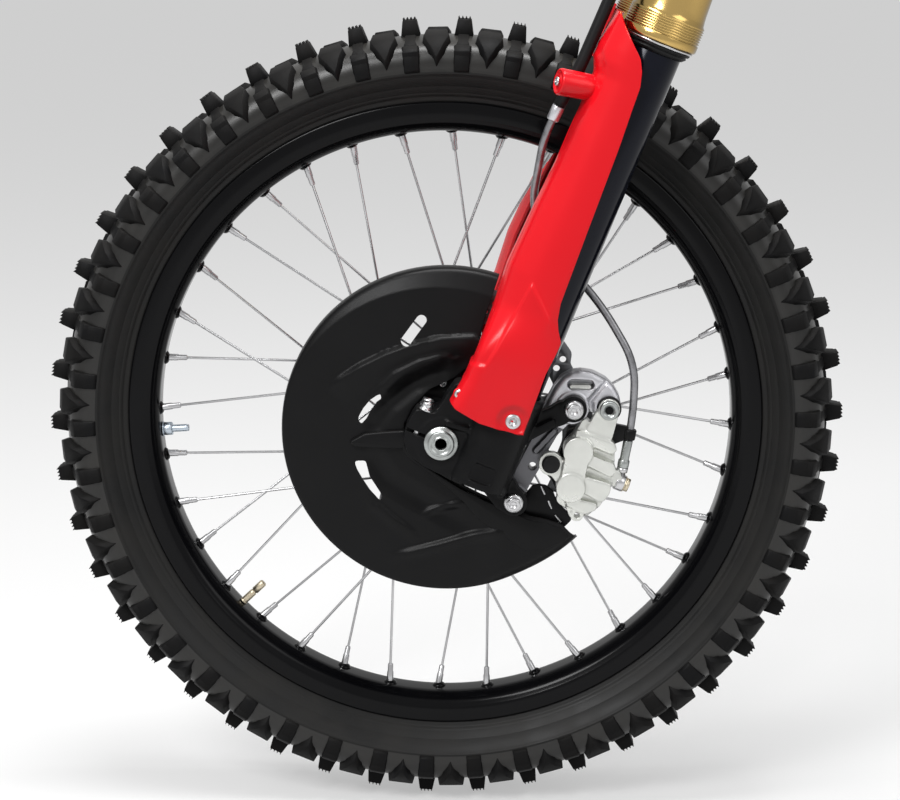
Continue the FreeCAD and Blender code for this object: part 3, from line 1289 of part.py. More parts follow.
def makeTube(label, points, radius):
    wire, radii = routeWire(points)
    section = Part.Wire(Part.makeCircle(radius, points[0], points[1] - points[0]))
    tube = wire.makePipeShell([section], True, True)
    expected = math.pi * radius * radius * wire.Length
    print("%s length %.1f, volume / section x length %.4f, radii %s" % (
        label, wire.Length, tube.Volume / expected, " ".join("%.0f" % r for r in radii)))
    newShape(label, tube)


def makeHose():
    makeTube("brake_hose", hoseRoute(), float(size.hoseRadius))
    makeTube("hose_sheath", sheathRoute(), float(size.sheathRadius))


def eye(end, direction, axis, radius, bore, width, neck):
    """A banjo eye on the end of a hose: ring, neck and crimped sleeve."""
    along = FreeCAD.Vector(direction).normalize()
    middle = end + along * (neck + radius)
    across = FreeCAD.Vector(axis).normalize()
    ring = prism(middle - across * (width / 2), middle + across * (width / 2), radius, 12)
    stalk = prism(end, end + along * (neck + radius * 0.5), radius * 0.45, 6)
    sleeve = prism(end, end + along * (neck * 0.7), radius * 0.66, 8)
    ring = ring.fuse(stalk).fuse(sleeve)
    return ring.cut(prism(middle - across * width, middle + across * width, bore, 8)), middle


def makeFittings():
    """Banjo eyes at both ends of the hose, and the bolts through them."""
    radius = float(size.banjoRadius)
    width = float(size.banjoWidth)
    bore = radius * 0.6
    fit = float(size.runningFit)
    low, after = hoseRoute()[:2]
    fall = low - after
    backward = FreeCAD.Vector(1, 0, 0)
    lower, lowMiddle = eye(low, fall, backward, radius, bore, width, float(size.banjoNeck) / 4)
    before, high = sheathRoute()[-2:]
    rise = high - before
    upper, highMiddle = eye(high, rise, FreeCAD.Vector(0, 1, 0), radius, bore, width, float(size.banjoNeck))
    newShape("hose_fittings", Part.makeCompound([lower, upper]))
    seat = lowMiddle + backward * (width / 2 + fit)
    head = prism(seat, seat + backward * (width / 2), radius * 0.9, 6)
    shaft = prism(seat - backward * (width + fit), seat + backward * fit, bore - fit * 3, 8)
    newShape("banjo_bolt", head.fuse(shaft).removeSplitter())


def makeHoseClip():
    """A guide on the front of the lower yoke's left clamp, around the sheath."""
    fit = float(size.runningFit)
    below, middle = sheathRoute()[-3:-1]
    height = float(size.banjoWidth) * 1.4
    radius = float(size.sheathRadius)
    low = middle - FreeCAD.Vector(0, 0, height / 2)
    rise = FreeCAD.Vector(0, 0, height)
    clamp = float(size.legOffset - size.yokeClampRadius) - fit
    ring = prism(low, low + rise, radius * 1.5, 12)
    web = Part.makeBox(clamp - middle.x, radius, height, low - FreeCAD.Vector(0, radius / 2, 0))
    up = (middle - below).normalize()
    bore = prism(low - up * height, low + up * (height * 2), radius + fit * 4, 12)
    newShape("hose_clip", ring.fuse(web).cut(bore).removeSplitter())


def makeEverything():
    makeTyre()
    makeRim()
    makeHub()
    makeDisc()
    makeDiscBolts()
    makeValve()
    for side in (LEFT, RIGHT):
        makeSpokes(side)
        makeLeg(side)
        makeLug(side)
        makeShield(side)
    makePinchBolts()
    makeAxle()
    makeAxleNut()
    makeSpacers()
    makeBracket()
    makeBracketBolts()
    makeCaliper()
    makeCaliperPins()
    makePads()
    makeDiscGuard()
    makeGuardScrews()
    makeYoke()
    makeYokeBolts()
    makeStem()
    makeHose()
    makeFittings()
    makeHoseClip()


def checkAndWrite():
    doc.recompute()
    failed = [o.Label for o in doc.Objects if "Invalid" in o.State or "Error" in o.State]
    for item in pieces:
        if item.Shape.isNull() or not item.Shape.isValid():
            failed.append(item.Label)
    if failed:
        raise RuntimeError("not sound: " + ", ".join(sorted(set(failed))))
    for item in pieces:
        item.Shape.exportStep("parts/%s.step" % item.Label)
        print("%-18s solids %3d  volume %10.0f" % (item.Label, len(item.Shape.Solids), item.Shape.Volume))


makeEverything()
checkAndWrite()
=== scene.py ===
import math
import bmesh
import bpy
from mathutils import Matrix, Vector


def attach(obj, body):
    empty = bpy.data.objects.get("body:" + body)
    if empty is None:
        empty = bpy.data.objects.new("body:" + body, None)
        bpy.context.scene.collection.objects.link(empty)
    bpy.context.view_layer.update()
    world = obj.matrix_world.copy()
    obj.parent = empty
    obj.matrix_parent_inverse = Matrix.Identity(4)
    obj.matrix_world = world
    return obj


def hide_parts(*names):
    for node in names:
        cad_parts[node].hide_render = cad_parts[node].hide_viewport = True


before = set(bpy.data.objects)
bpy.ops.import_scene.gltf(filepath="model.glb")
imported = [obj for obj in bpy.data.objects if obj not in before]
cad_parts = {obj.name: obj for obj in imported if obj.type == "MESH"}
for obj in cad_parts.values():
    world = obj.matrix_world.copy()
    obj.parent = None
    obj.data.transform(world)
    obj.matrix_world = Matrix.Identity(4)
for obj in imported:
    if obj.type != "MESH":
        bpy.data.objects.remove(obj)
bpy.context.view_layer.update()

# sizes below are millimetres in the leg's own directions: back from the axle, across, and up the leg
mm = 0.001
rake = math.radians(21.4)
axle = Vector((-0.327042, 0.0, -0.659112))
legBack = 41.0        # axle to the plane of the legs
legSide = 100.0       # middle plane to a leg's axis
nearSide = -1         # the bike's left, towards the camera


def alongLeg(v, y, u):
    # back, across and up the leg to a place in the frame
    return axle + mm * Vector((v * math.cos(rake) + u * math.sin(rake), y,
                               u * math.cos(rake) - v * math.sin(rake)))


def onWheel(y, radius, angle):
    return axle + mm * Vector((radius * math.sin(angle), y, radius * math.cos(angle)))


# meshes

def place(name, data):
    thing = bpy.data.objects.new(name, data)
    bpy.context.scene.collection.objects.link(thing)
    return thing


def newPiece(name, verts, faces, material=None, smooth=None):
    mesh = bpy.data.meshes.new(name)
    mesh.from_pydata([tuple(v) for v in verts], [], faces)
    mesh.validate()
    piece = place(name, mesh)
    tidyMesh(mesh)
    if material:
        mesh.materials.append(material)
    if smooth is not None:
        shadeByAngle(mesh, smooth)
    return piece


def tidyMesh(mesh, merge=1e-6):
    work = bmesh.new()
    work.from_mesh(mesh)
    bmesh.ops.remove_doubles(work, verts=work.verts, dist=merge)
    bmesh.ops.recalc_face_normals(work, faces=work.faces)
    work.to_mesh(mesh)
    work.free()


def shadeByAngle(mesh, degrees):
    work = bmesh.new()
    work.from_mesh(mesh)
    limit = math.radians(degrees)
    for face in work.faces:
        face.smooth = True
    for edge in work.edges:
        edge.smooth = len(edge.link_faces) == 2 and edge.calc_face_angle(0) < limit
    work.to_mesh(mesh)
    work.free()


def settle(piece, smooth=None):
    # turns a piece and its modifiers into a plain mesh
    bpy.context.view_layer.update()
    done = piece.evaluated_get(bpy.context.evaluated_depsgraph_get())
    mesh = bpy.data.meshes.new_from_object(done)
    mesh.name = piece.name
    piece.modifiers.clear()
    piece.data = mesh
    if smooth is not None:
        shadeByAngle(mesh, smooth)
    return piece


def modify(piece, kind, **settings):
    step = piece.modifiers.new(kind.lower(), kind)
    for key, value in settings.items():
        setattr(step, key, value)
    return step


def roundEdges(piece, width, segments=2, angle=30, smooth=40):
    modify(piece, "BEVEL", width=width * mm, segments=segments, limit_method="ANGLE",
           angle_limit=math.radians(angle))
    return settle(piece, smooth)


def joined(name, pieces, material=None):
    # one mesh of several, in their own materials or all in one
    verts, faces, slots, flags, materials = [], [], [], [], []
    for piece in pieces:
        start = len(verts)
        verts += [tuple(v.co) for v in piece.data.vertices]
        own = list(piece.data.materials) or [None]
        for m in own:
            if m not in materials:
                materials.append(m)
        for f in piece.data.polygons:
            faces.append([start + i for i in f.vertices])
            slots.append(materials.index(own[min(f.material_index, len(own) - 1)]))
            flags.append(f.use_smooth)
    mesh = bpy.data.meshes.new(name)
    mesh.from_pydata(verts, [], faces)
    for m in [material] if material else materials:
        mesh.materials.append(m)
    for f, s, smooth in zip(mesh.polygons, slots, flags):
        f.material_index = 0 if material else s
        f.use_smooth = smooth
    whole = place(name, mesh)
    for piece in pieces:
        bpy.data.objects.remove(piece)
    return whole


def keep(name, parts, body, node, material=None):
    # a finished piece that stands for a CAD node
    whole = joined(name, parts, material)
    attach(whole, body)
    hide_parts(node)


def lathe(name, outline, start, axisTo, steps, material, smooth=35, closed=True):
    # outline is (along, radius) in mm; start and axisTo fix the turning axis
    axis = (axisTo - start).normalized()
    side = axis.orthogonal().normalized()
    up = axis.cross(side)
    verts, faces = [], []
    count = len(outline)
    for i in range(steps):
        a = 2 * math.pi * i / steps
        out = side * math.cos(a) + up * math.sin(a)
        for along, radius in outline:
            verts.append(start + mm * (axis * along + out * max(radius, 0.0)))
    last = count if closed else count - 1
    for i in range(steps):
        j = (i + 1) % steps
        for k in range(last):
            m = (k + 1) % count
            faces.append((i * count + k, i * count + m, j * count + m, j * count + k))
    return newPiece(name, verts, faces, material, smooth)


def wheelLathe(name, outline, steps, material, smooth=35):
    return lathe(name, outline, axle, axle + Vector((0, 1, 0)), steps, material, smooth)


def legLathe(name, outline, side, steps, material, smooth=35):
    foot = alongLeg(legBack, side * legSide, 0)
    return lathe(name, outline, foot, alongLeg(legBack, side * legSide, 100), steps, material, smooth)


# node trees for repeated shapes

def addNode(tree, kind, values=None, **settings):
    node = tree.nodes.new(kind)
    for key, value in settings.items():
        setattr(node, key, value)
    for key, value in (values or {}).items():
        node.inputs[key].default_value = value
    return node


def connect(tree, *links):
    # each link: a node and its output, a node and its input
    for source, out, target, into in links:
        tree.links.new(source.outputs[out], target.inputs[into])


def makeRingTree():
    # copies of the input around an axis along Y
    tree = bpy.data.node_groups.new("ringOfCopies", "GeometryNodeTree")
    tree.interface.new_socket("Geometry", in_out="INPUT", socket_type="NodeSocketGeometry")
    tree.interface.new_socket("Geometry", in_out="OUTPUT", socket_type="NodeSocketGeometry")
    ids = {}
    for label, kind in (("Count", "Int"), ("Centre", "Vector"), ("Start", "Float"), ("Material", "Material")):
        socket = tree.interface.new_socket(label, in_out="INPUT", socket_type="NodeSocket" + kind)
        ids[label] = socket.identifier
    take = addNode(tree, "NodeGroupInput")
    give = addNode(tree, "NodeGroupOutput")
    away = addNode(tree, "ShaderNodeVectorMath", {"Scale": -1.0}, operation="SCALE")
    centred = addNode(tree, "GeometryNodeTransform")
    points = addNode(tree, "GeometryNodeMeshLine", {"Offset": (0, 0, 0)})
    index = addNode(tree, "GeometryNodeInputIndex")
    step = addNode(tree, "ShaderNodeMath", {0: 2 * math.pi}, operation="DIVIDE")
    angle = addNode(tree, "ShaderNodeMath", operation="MULTIPLY_ADD")
    turn = addNode(tree, "ShaderNodeCombineXYZ")
    copies = addNode(tree, "GeometryNodeInstanceOnPoints")
    real = addNode(tree, "GeometryNodeRealizeInstances")
    back = addNode(tree, "GeometryNodeTransform")
    paint = addNode(tree, "GeometryNodeSetMaterial")
    connect(tree, (take, "Centre", away, 0), (take, "Geometry", centred, "Geometry"),
            (away, "Vector", centred, "Translation"), (take, "Count", points, "Count"),
            (take, "Count", step, 1), (index, 0, angle, 0), (step, 0, angle, 1), (take, "Start", angle, 2),
            (angle, 0, turn, "Y"), (points, "Mesh", copies, "Points"),
            (centred, "Geometry", copies, "Instance"), (turn, "Vector", copies, "Rotation"),
            (copies, "Instances", real, "Geometry"), (real, "Geometry", back, "Geometry"),
            (take, "Centre", back, "Translation"), (back, "Geometry", paint, "Geometry"),
            (take, "Material", paint, "Material"), (paint, "Geometry", give, "Geometry"))
    return tree, ids


ringTree, ringIds = makeRingTree()


def ringOf(piece, count, material, smooth):
    spread = modify(piece, "NODES", node_group=ringTree)
    for key, value in (("Count", count), ("Centre", axle), ("Start", 0.0), ("Material", material)):
        spread[ringIds[key]] = value
    return settle(piece, smooth)


# materials

def shaderGroup(name, outputs, inputs):
    group = bpy.data.node_groups.new(name, "ShaderNodeTree")
    for label, kind, value in inputs:
        socket = group.interface.new_socket(label, in_out="INPUT", socket_type=kind)
        socket.default_value = value
    for label, kind in outputs:
        group.interface.new_socket(label, in_out="OUTPUT", socket_type=kind)
    return group, addNode(group, "NodeGroupInput"), addNode(group, "NodeGroupOutput")


def makeSurfaceGroup():
    # fine grain, soft patches of tone, and a pale warm tone on what faces up that is partly dust and partly
    # painted sheen of light from above
    group, take, give = shaderGroup("surfaceFinish", [
        ("Color", "NodeSocketColor"), ("Roughness", "NodeSocketFloat"), ("Normal", "NodeSocketVector")], [
        ("Base", "NodeSocketColor", (0.1, 0.1, 0.1, 1)), ("Patch", "NodeSocketColor", (0.2, 0.2, 0.2, 1)),
        ("Patch Amount", "NodeSocketFloat", 0.2), ("Patch Scale", "NodeSocketFloat", 20.0),
        ("Rough", "NodeSocketFloat", 0.4), ("Rough Spread", "NodeSocketFloat", 0.1),
        ("Grain Scale", "NodeSocketFloat", 800.0), ("Grain Depth", "NodeSocketFloat", 0.0001),
        ("Dust", "NodeSocketFloat", 0.0)])
    spot = addNode(group, "ShaderNodeTexCoord")
    patches = addNode(group, "ShaderNodeTexNoise", {"Detail": 5.0})
    shape = addNode(group, "ShaderNodeMapRange", {"From Min": 0.35, "From Max": 0.75})
    amount = addNode(group, "ShaderNodeMath", operation="MULTIPLY")
    tone = addNode(group, "ShaderNodeMix", data_type="RGBA")
    grain = addNode(group, "ShaderNodeTexNoise", {"Detail": 3.0})
    bump = addNode(group, "ShaderNodeBump", {"Strength": 1.0})
    spread = addNode(group, "ShaderNodeMath", operation="MULTIPLY_ADD")
    # partly dust, partly painted sheen: paler and warmer where the surface faces up
    facing = addNode(group, "ShaderNodeNewGeometry")
    split = addNode(group, "ShaderNodeSeparateXYZ")
    upward = addNode(group, "ShaderNodeMapRange", {"From Min": 0.55, "From Max": 1.0})
    dustAndSheenAmount = addNode(group, "ShaderNodeMath", operation="MULTIPLY")
    dust = addNode(group, "ShaderNodeMix", {"B": (0.32, 0.30, 0.27, 1)}, data_type="RGBA")
    connect(group, (spot, "Object", patches, "Vector"), (take, "Patch Scale", patches, "Scale"),
            (patches, "Fac", shape, "Value"), (shape, "Result", amount, 0), (take, "Patch Amount", amount, 1),
            (amount, 0, tone, "Factor"), (take, "Base", tone, "A"), (take, "Patch", tone, "B"),
            (spot, "Object", grain, "Vector"), (take, "Grain Scale", grain, "Scale"),
            (grain, "Fac", bump, "Height"), (take, "Grain Depth", bump, "Distance"),
            (shape, "Result", spread, 0), (take, "Rough Spread", spread, 1), (take, "Rough", spread, 2),
            (facing, "Normal", split, 0), (split, "Z", upward, "Value"), (upward, "Result", dustAndSheenAmount, 0),
            (take, "Dust", dustAndSheenAmount, 1), (dustAndSheenAmount, 0, dust, "Factor"), (tone, "Result", dust, "A"),
            (dust, "Result", give, "Color"), (spread, 0, give, "Roughness"), (bump, "Normal", give, "Normal"))
    return group


surfaceGroup = makeSurfaceGroup()


def finish(name, base, patch, amount, patchScale, rough, roughSpread, grainScale, grainDepth,
           dust=0.0, metallic=0.0, coat=0.0, coatRough=0.05, specular=0.5, edge=None):
    material = bpy.data.materials.new(name)
    material.use_nodes = True
    tree = material.node_tree
    shader = tree.nodes["Principled BSDF"]
    look = addNode(tree, "ShaderNodeGroup", {
        "Base": (*base, 1), "Patch": (*patch, 1), "Patch Amount": amount, "Patch Scale": patchScale,
        "Rough": rough, "Rough Spread": roughSpread, "Grain Scale": grainScale, "Grain Depth": grainDepth,
        "Dust": dust}, node_tree=surfaceGroup)
    for key, value in (("Metallic", metallic), ("Coat Weight", coat), ("Coat Roughness", coatRough),
                       ("Specular IOR Level", specular)):
        shader.inputs[key].default_value = value
    colour, out = look, "Color"
    if edge:
        # painted reflection: where the surface turns away from the eye the base colour darkens towards the edge
        # colour, standing in for the darker surroundings a polished tube mirrors
        facing = addNode(tree, "ShaderNodeLayerWeight", {"Blend": 0.42})
        colour, out = addNode(tree, "ShaderNodeMix", {"B": (*edge, 1)}, data_type="RGBA"), "Result"
        connect(tree, (facing, "Facing", colour, "Factor"), (look, "Color", colour, "A"))
    connect(tree, (colour, out, shader, "Base Color"), (look, "Roughness", shader, "Roughness"),
            (look, "Normal", shader, "Normal"))
    return material


# each: colour, second colour, its amount and scale, roughness and its spread, grain scale and depth
rubber = finish("tyreRubber", (0.005, 0.005, 0.0054), (0.013, 0.012, 0.011), 0.5, 35, 0.5, 0.2,
                1500, 0.00012, dust=0.02, specular=0.10)
casingRubber = finish("casingRubber", (0.0085, 0.0085, 0.0085), (0.019, 0.0175, 0.0155), 0.5, 28, 0.40, 0.15,
                      1500, 0.0001, dust=0.03, specular=0.22)
shoulderRubber = finish("shoulderRubber", (0.009, 0.0086, 0.008), (0.021, 0.019, 0.0155), 0.5, 28, 0.30, 0.12,
                        1500, 0.00006, dust=0.04, specular=0.45)
rimPaint = finish("rimGlossBlack", (0.002, 0.002, 0.0025), (0.005, 0.005, 0.006), 0.3, 15, 0.14, 0.06,
                  2500, 0.00001, specular=0.13)
guardPlastic = finish("guardBlackPlastic", (0.0042, 0.0042, 0.0045), (0.007, 0.007, 0.0074), 0.4, 25, 0.33,
                      0.08, 2200, 0.00006, dust=0.012, specular=0.15)
redPlastic = finish("guardRedPlastic", (0.76, 0.006, 0.013), (0.68, 0.004, 0.010), 0.3, 12, 0.22, 0.08,
                    1800, 0.00002, specular=0.3)
castBlack = finish("castBlackPaint", (0.0042, 0.0042, 0.0046), (0.009, 0.009, 0.0095), 0.5, 60, 0.34, 0.15,
                   900, 0.00012, dust=0.012, specular=0.12)
castSilver = finish("castSilverPaint", (0.73, 0.74, 0.70), (0.58, 0.59, 0.56), 0.5, 60, 0.26, 0.12,
                    1500, 0.00006, metallic=0.7)
castGrey = finish("bracketCastAlloy", (0.63, 0.63, 0.66), (0.50, 0.50, 0.53), 0.4, 50, 0.30, 0.12,
                  1200, 0.0001, metallic=0.85)
# a darker copy of the bracket alloy, painted shade for the bracket's lower part
castShade = finish("bracketShadedAlloy", (0.13, 0.13, 0.14), (0.20, 0.20, 0.21), 0.4, 50, 0.34, 0.12,
                   1200, 0.0001, metallic=0.7)
brightSteel = finish("boltSteel", (0.58, 0.58, 0.59), (0.42, 0.42, 0.42), 0.4, 90, 0.22, 0.15,
                     2500, 0.00002, metallic=1.0)
turnedSteel = finish("turnedSteel", (0.40, 0.42, 0.41), (0.30, 0.31, 0.31), 0.4, 90, 0.26, 0.12,
                     2500, 0.00002, metallic=1.0)
spokeSteel = finish("spokeSteel", (0.50, 0.50, 0.51), (0.36, 0.36, 0.36), 0.4, 60, 0.26, 0.12,
                    3000, 0.00001, metallic=1.0)
zincBlue = finish("zincBlueSteel", (0.46, 0.53, 0.60), (0.62, 0.66, 0.70), 0.5, 120, 0.3, 0.15,
                  2500, 0.00002, metallic=1.0)
brassFinish = finish("valveBrass", (0.62, 0.55, 0.42), (0.5, 0.42, 0.28), 0.4, 120, 0.34, 0.15,
                     2500, 0.00002, metallic=1.0)
discSteel = finish("discSteel", (0.15, 0.153, 0.16), (0.21, 0.21, 0.215), 0.4, 40, 0.48, 0.1,
                   2600, 0.00003, metallic=1.0)
# its edge colour is painted reflection, darker where the tube turns away from the eye
goldAnodised = finish("goldAnodised", (0.66, 0.45, 0.16), (0.52, 0.34, 0.11), 0.4, 18, 0.17, 0.08,
                      3000, 0.00001, metallic=1.0, edge=(0.10, 0.065, 0.015))
tubeCoat = finish("tubeDarkCoat", (0.004, 0.005, 0.011), (0.007, 0.008, 0.015), 0.3, 14, 0.12, 0.05,
                  3000, 0.000005, metallic=0.2, specular=0.22)
sealRubber = finish("sealRubber", (0.007, 0.007, 0.0075), (0.012, 0.012, 0.012), 0.4, 60, 0.4, 0.15,
                    1800, 0.00005, specular=0.2)
hubBlack = finish("hubBlackPaint", (0.007, 0.007, 0.008), (0.013, 0.013, 0.014), 0.4, 40, 0.3, 0.12,
                  1500, 0.00004, specular=0.2)
padMaterial = finish("brakePadMaterial", (0.10, 0.09, 0.08), (0.16, 0.15, 0.13), 0.5, 120, 0.8, 0.1,
                     1500, 0.0002)
hoseRubber = finish("hoseBlackSheath", (0.0055, 0.0055, 0.006), (0.010, 0.010, 0.010), 0.4, 60, 0.4, 0.15,
                    1500, 0.00004, specular=0.2)
# its edge colour is painted reflection, darker where the hose turns away from the eye
braidSteel = finish("braidedHose", (0.20, 0.20, 0.21), (0.42, 0.42, 0.44), 0.7, 130, 0.26, 0.12,
                    2500, 0.0, metallic=0.75, coat=0.5, coatRough=0.12, specular=0.4,
                    edge=(0.035, 0.035, 0.04))
nodeFinish = {name: material for material, names in (
    (rubber, "tyre"), (rimPaint, "rim"), (discSteel, "brake_disc"), (brassFinish, "valve"),
    (zincBlue, "rim_lock"), (hubBlack, "hub left_fork_cap right_fork_cap"),
    (spokeSteel, "left_spokes right_spokes"), (tubeCoat, "left_inner_tube right_inner_tube"),
    (sealRubber, "left_dust_seal right_dust_seal"), (goldAnodised, "left_outer_tube right_outer_tube"),
    (redPlastic, "left_leg_guard right_leg_guard"), (castBlack, "left_axle_lug right_axle_lug lower_yoke"),
    (castGrey, "caliper_bracket"), (castSilver, "caliper"), (padMaterial, "brake_pads"),
    (guardPlastic, "disc_guard hose_clip"), (hoseRubber, "hose_sheath"),
    (brightSteel, "disc_bolts pinch_bolts bracket_bolts yoke_bolts banjo_bolt guard_screws caliper_pins axle "
                  "axle_nut left_spacer right_spacer steering_stem brake_hose hose_fittings"),
) for name in names.split()}
for name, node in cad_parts.items():
    node.data.materials.clear()
    node.data.materials.append(nodeFinish.get(name, castBlack))
print("materials ready")


# tyre: casing with its rings, and a pitch of blocks repeated around it

tyre = {
    "pitches": 46,
    "phase": 2.5,         # degrees
    "steps": 276,
    "wall": 6.5,
    "treadRadius": 340.0,
    "sink": 1.6,          # blocks start inside the casing
    "roundBlocks": 0.7,
    "shoulder": 309.0,    # glossier from here outward
    "casing": [           # half outline from the bead to the crown, across and radius
        (19.6, 269.0), (19.9, 276.0), (20.1, 281.8), (22.2, 284.6), (24.8, 286.6), (26.4, 288.6),
        (27.0, 290.6), (28.2, 292.2), (31.4, 295.2), (35.2, 299.0), (38.2, 303.0), (39.5, 305.2),
        (40.6, 305.9), (41.0, 306.9), (40.6, 308.0), (41.0, 311.0), (41.3, 314.0), (41.2, 317.0),
        (40.2, 321.0), (38.0, 325.4), (35.6, 328.4), (32.6, 330.8), (27.0, 333.4), (20.0, 335.6),
        (13.5, 337.0), (6.5, 337.7), (0.0, 337.9)],
    # four-sided blocks: half length and place across at both ends of the foot, then half length,
    # place and height at both ends of the top
    "middle": ((8.6, -12.5, 8.6, 12.5), (5.6, -9.5, 14.0, 5.6, 9.5, 14.0)),
    "sides": [            # a lit pad, the steep outer face under it and a low tie to the middle block
        ((8.6, 35.0, 8.2, 60.0), (6.8, 37.0, 3.0, 7.0, 44.0, 6.8)),
        ((8.0, 40.0, 7.6, 61.5), (6.9, 42.5, 6.2, 6.9, 57.5, 3.0)),
        ((6.0, 11.0, 7.0, 36.0), (4.6, 12.0, 1.6, 5.4, 35.0, 1.2))],
    # thin fins on the middle block; foot and top are half thickness and half width
    "fins": {"count": 4, "reach": 4.6, "foot": (0.75, 8.8), "top": (0.2, 8.4), "lean": -0.5, "from": 13.0,
             "to": 15.8},
    # wide block half a pitch on, its outer end a keel that runs down the shoulder
    "keelFoot": [(10.5, 15.0), (13.0, 31.0), (8.2, 44.0), (0.0, 58.5)],
    "keelTop": [(8.6, 16.6, 7.2), (11.0, 30.0, 7.2), (5.4, 40.0, 7.6), (0.0, 49.0, 7.0)],
}


def casingSpot(across, lift):
    # distance from the crown along the casing's outline, and height above it
    side = -1 if across < 0 else 1
    left = abs(across)
    line = list(reversed(tyre["casing"]))
    for (a, r), (b, s) in zip(line, line[1:]):
        run = math.hypot(b - a, s - r)
        if left <= run:
            share = left / run
            normal = Vector((-(s - r), b - a)).normalized()
            return (side * (a + (b - a) * share + normal.x * lift), r + (s - r) * share + normal.y * lift)
        left -= run
    return side * line[-1][0], line[-1][1]


def block(foot, top, depth=tyre["sink"]):
    # a block from its foot and top outlines: along the tread, across it, lift
    verts = []
    for t, s, lift in [(*p, -depth) for p in foot] + top:
        y, r = casingSpot(s, lift)
        verts.append(onWheel(y, r, t / tyre["treadRadius"] + math.radians(tyre["phase"])))
    n = len(foot)
    faces = [tuple(range(n)), tuple(range(n, 2 * n))]
    faces += [(i, (i + 1) % n, n + (i + 1) % n, n + i) for i in range(n)]
    return newPiece("block", verts, faces)


def fourSided(side, foot, top):
    (a, s, b, t), (c, p, low, d, q, high) = foot, top
    return block([(-a, side * s), (a, side * s), (b, side * t), (-b, side * t)],
                 [(-c, side * p, low), (c, side * p, low), (d, side * q, high), (-d, side * q, high)])


def oblong(t, half, width):
    return [(t - half, -width), (t + half, -width), (t + half, width), (t - half, width)]


def keelLine(side, middle, table):
    # a closed outline from its half: distance from the middle line, place across and height
    w, s, *h = table[0]
    return ([(middle - w, side * s, *h)] + [(middle + w, side * s, *h) for w, s, *h in table]
            + [(middle - w, side * s, *h) for w, s, *h in reversed(table[1:-1])])


def makeTyre():
    half = tyre["casing"]
    outer = [(-a, b) for a, b in half] + [(a, b) for a, b in reversed(half[:-1])]
    wall = tyre["wall"]
    inner = [(y * (1 - wall / 42), r - wall * 0.95) for y, r in outer if r > 286]
    (first, low), (last, high) = outer[0], outer[-1]
    casing = wheelLathe("casing", outer + [(last - 5.0, high)] + inner[::-1] + [(first + 5.0, low)],
                        tyre["steps"], casingRubber, 28)
    casing.data.materials.append(shoulderRubber)
    for face in casing.data.polygons:
        out = face.center - axle
        face.material_index = 1 if math.hypot(out.x, out.z) > tyre["shoulder"] * mm else 0
    blocks = [fourSided(1, *tyre["middle"])]
    fins = tyre["fins"]
    for k in range(fins["count"]):
        t = fins["reach"] * (2 * k / (fins["count"] - 1) - 1)
        top = [(*p, fins["to"]) for p in oblong(t + fins["lean"], *fins["top"])]
        blocks.append(block(oblong(t, *fins["foot"]), top, -fins["from"]))
    middle = math.pi / tyre["pitches"] * tyre["treadRadius"]
    for side in (-1, 1):
        blocks += [fourSided(side, foot, top) for foot, top in tyre["sides"]]
        blocks.append(block(keelLine(side, middle, tyre["keelFoot"]), keelLine(side, middle, tyre["keelTop"])))
    for piece in blocks:
        roundEdges(piece, tyre["roundBlocks"], 1, 25)
    pitch = ringOf(joined("tyreBlocks", blocks, rubber), tyre["pitches"], rubber, 40)
    keep("knobblyTyre", [casing, pitch], "wheel", "tyre")


makeTyre()
print("tyre made")


# rim: hooked flanges, a step along each side, and a raised seat for every nipple

rim = {
    "steps": 288,
    "outline": [      # half, from the middle of the bed round to the well
        (7.4, 254.8), (11.0, 255.0), (13.6, 255.8), (17.4, 258.6), (20.6, 261.6), (22.0, 263.6),
        (22.6, 265.4), (23.2, 266.2), (23.7, 267.4), (23.8, 272.0), (23.9, 278.2), (23.7, 279.8),
        (23.0, 280.8), (22.1, 281.0), (21.0, 280.6), (20.4, 279.4), (20.3, 276.0), (20.3, 268.2),
        (19.4, 267.4), (14.0, 266.8), (12.6, 266.0), (10.8, 262.0), (9.6, 260.4), (7.8, 260.0)],
    "seatRadius": 6.0,
    "seatHeight": 1.8,
}
lacing = {"pairs": 18, "wire": 1.15, "hole": 43.0, "spread": 30.0, "flange": 6.0, "lean": 62.0,
          "phase": -8.9, "across": 4.5, "end": 254.2, "nipple": 18.0, "nippleRadius": 3.1}


def spokeLine(side, number):
    # hub end, foot of the nipple and rim end
    step = math.pi / lacing["pairs"]
    turn = math.radians(lacing["phase"]) + (2 * number + (0 if side < 0 else 1)) * step
    lean = math.radians(lacing["lean"]) * (1 if number % 2 else -1)
    beside = lacing["flange"] / 2 + lacing["wire"] + 0.3
    hubY = side * (lacing["spread"] + beside + lacing["wire"] * 1.3) if number % 2 else side * (
        lacing["spread"] - beside)
    hub = onWheel(hubY, lacing["hole"], turn - lean)
    end = onWheel(side * lacing["across"], lacing["end"], turn)
    back = (end - hub).normalized()
    return hub, end - back * mm * lacing["nipple"], end


def rimSeat(side):
    hub, foot, end = spokeLine(side, 0)
    inward = (hub - end).normalized()
    start = end - inward * mm * 2.5
    r, h = rim["seatRadius"], rim["seatHeight"]
    outline = [(0, 0), (0, r * 1.15), (2.2, r), (2.5 + h * 0.5, r * 0.86), (2.5 + h, r * 0.62),
               (2.5 + h * 1.05, 3.3), (1.6, 3.2), (1.6, 0)]
    return lathe("seat", outline, start, start + inward, 24, rimPaint, 60, False)


def makeRim():
    half = rim["outline"]
    outline = [(-a, b) for a, b in half] + [(a, b) for a, b in reversed(half)]
    parts = [wheelLathe("rimBody", outline, rim["steps"], rimPaint, 30)]
    for side in (-1, 1):
        parts.append(ringOf(rimSeat(side), lacing["pairs"], rimPaint, 60))
    keep("blackRim", parts, "wheel", "rim", rimPaint)


makeRim()


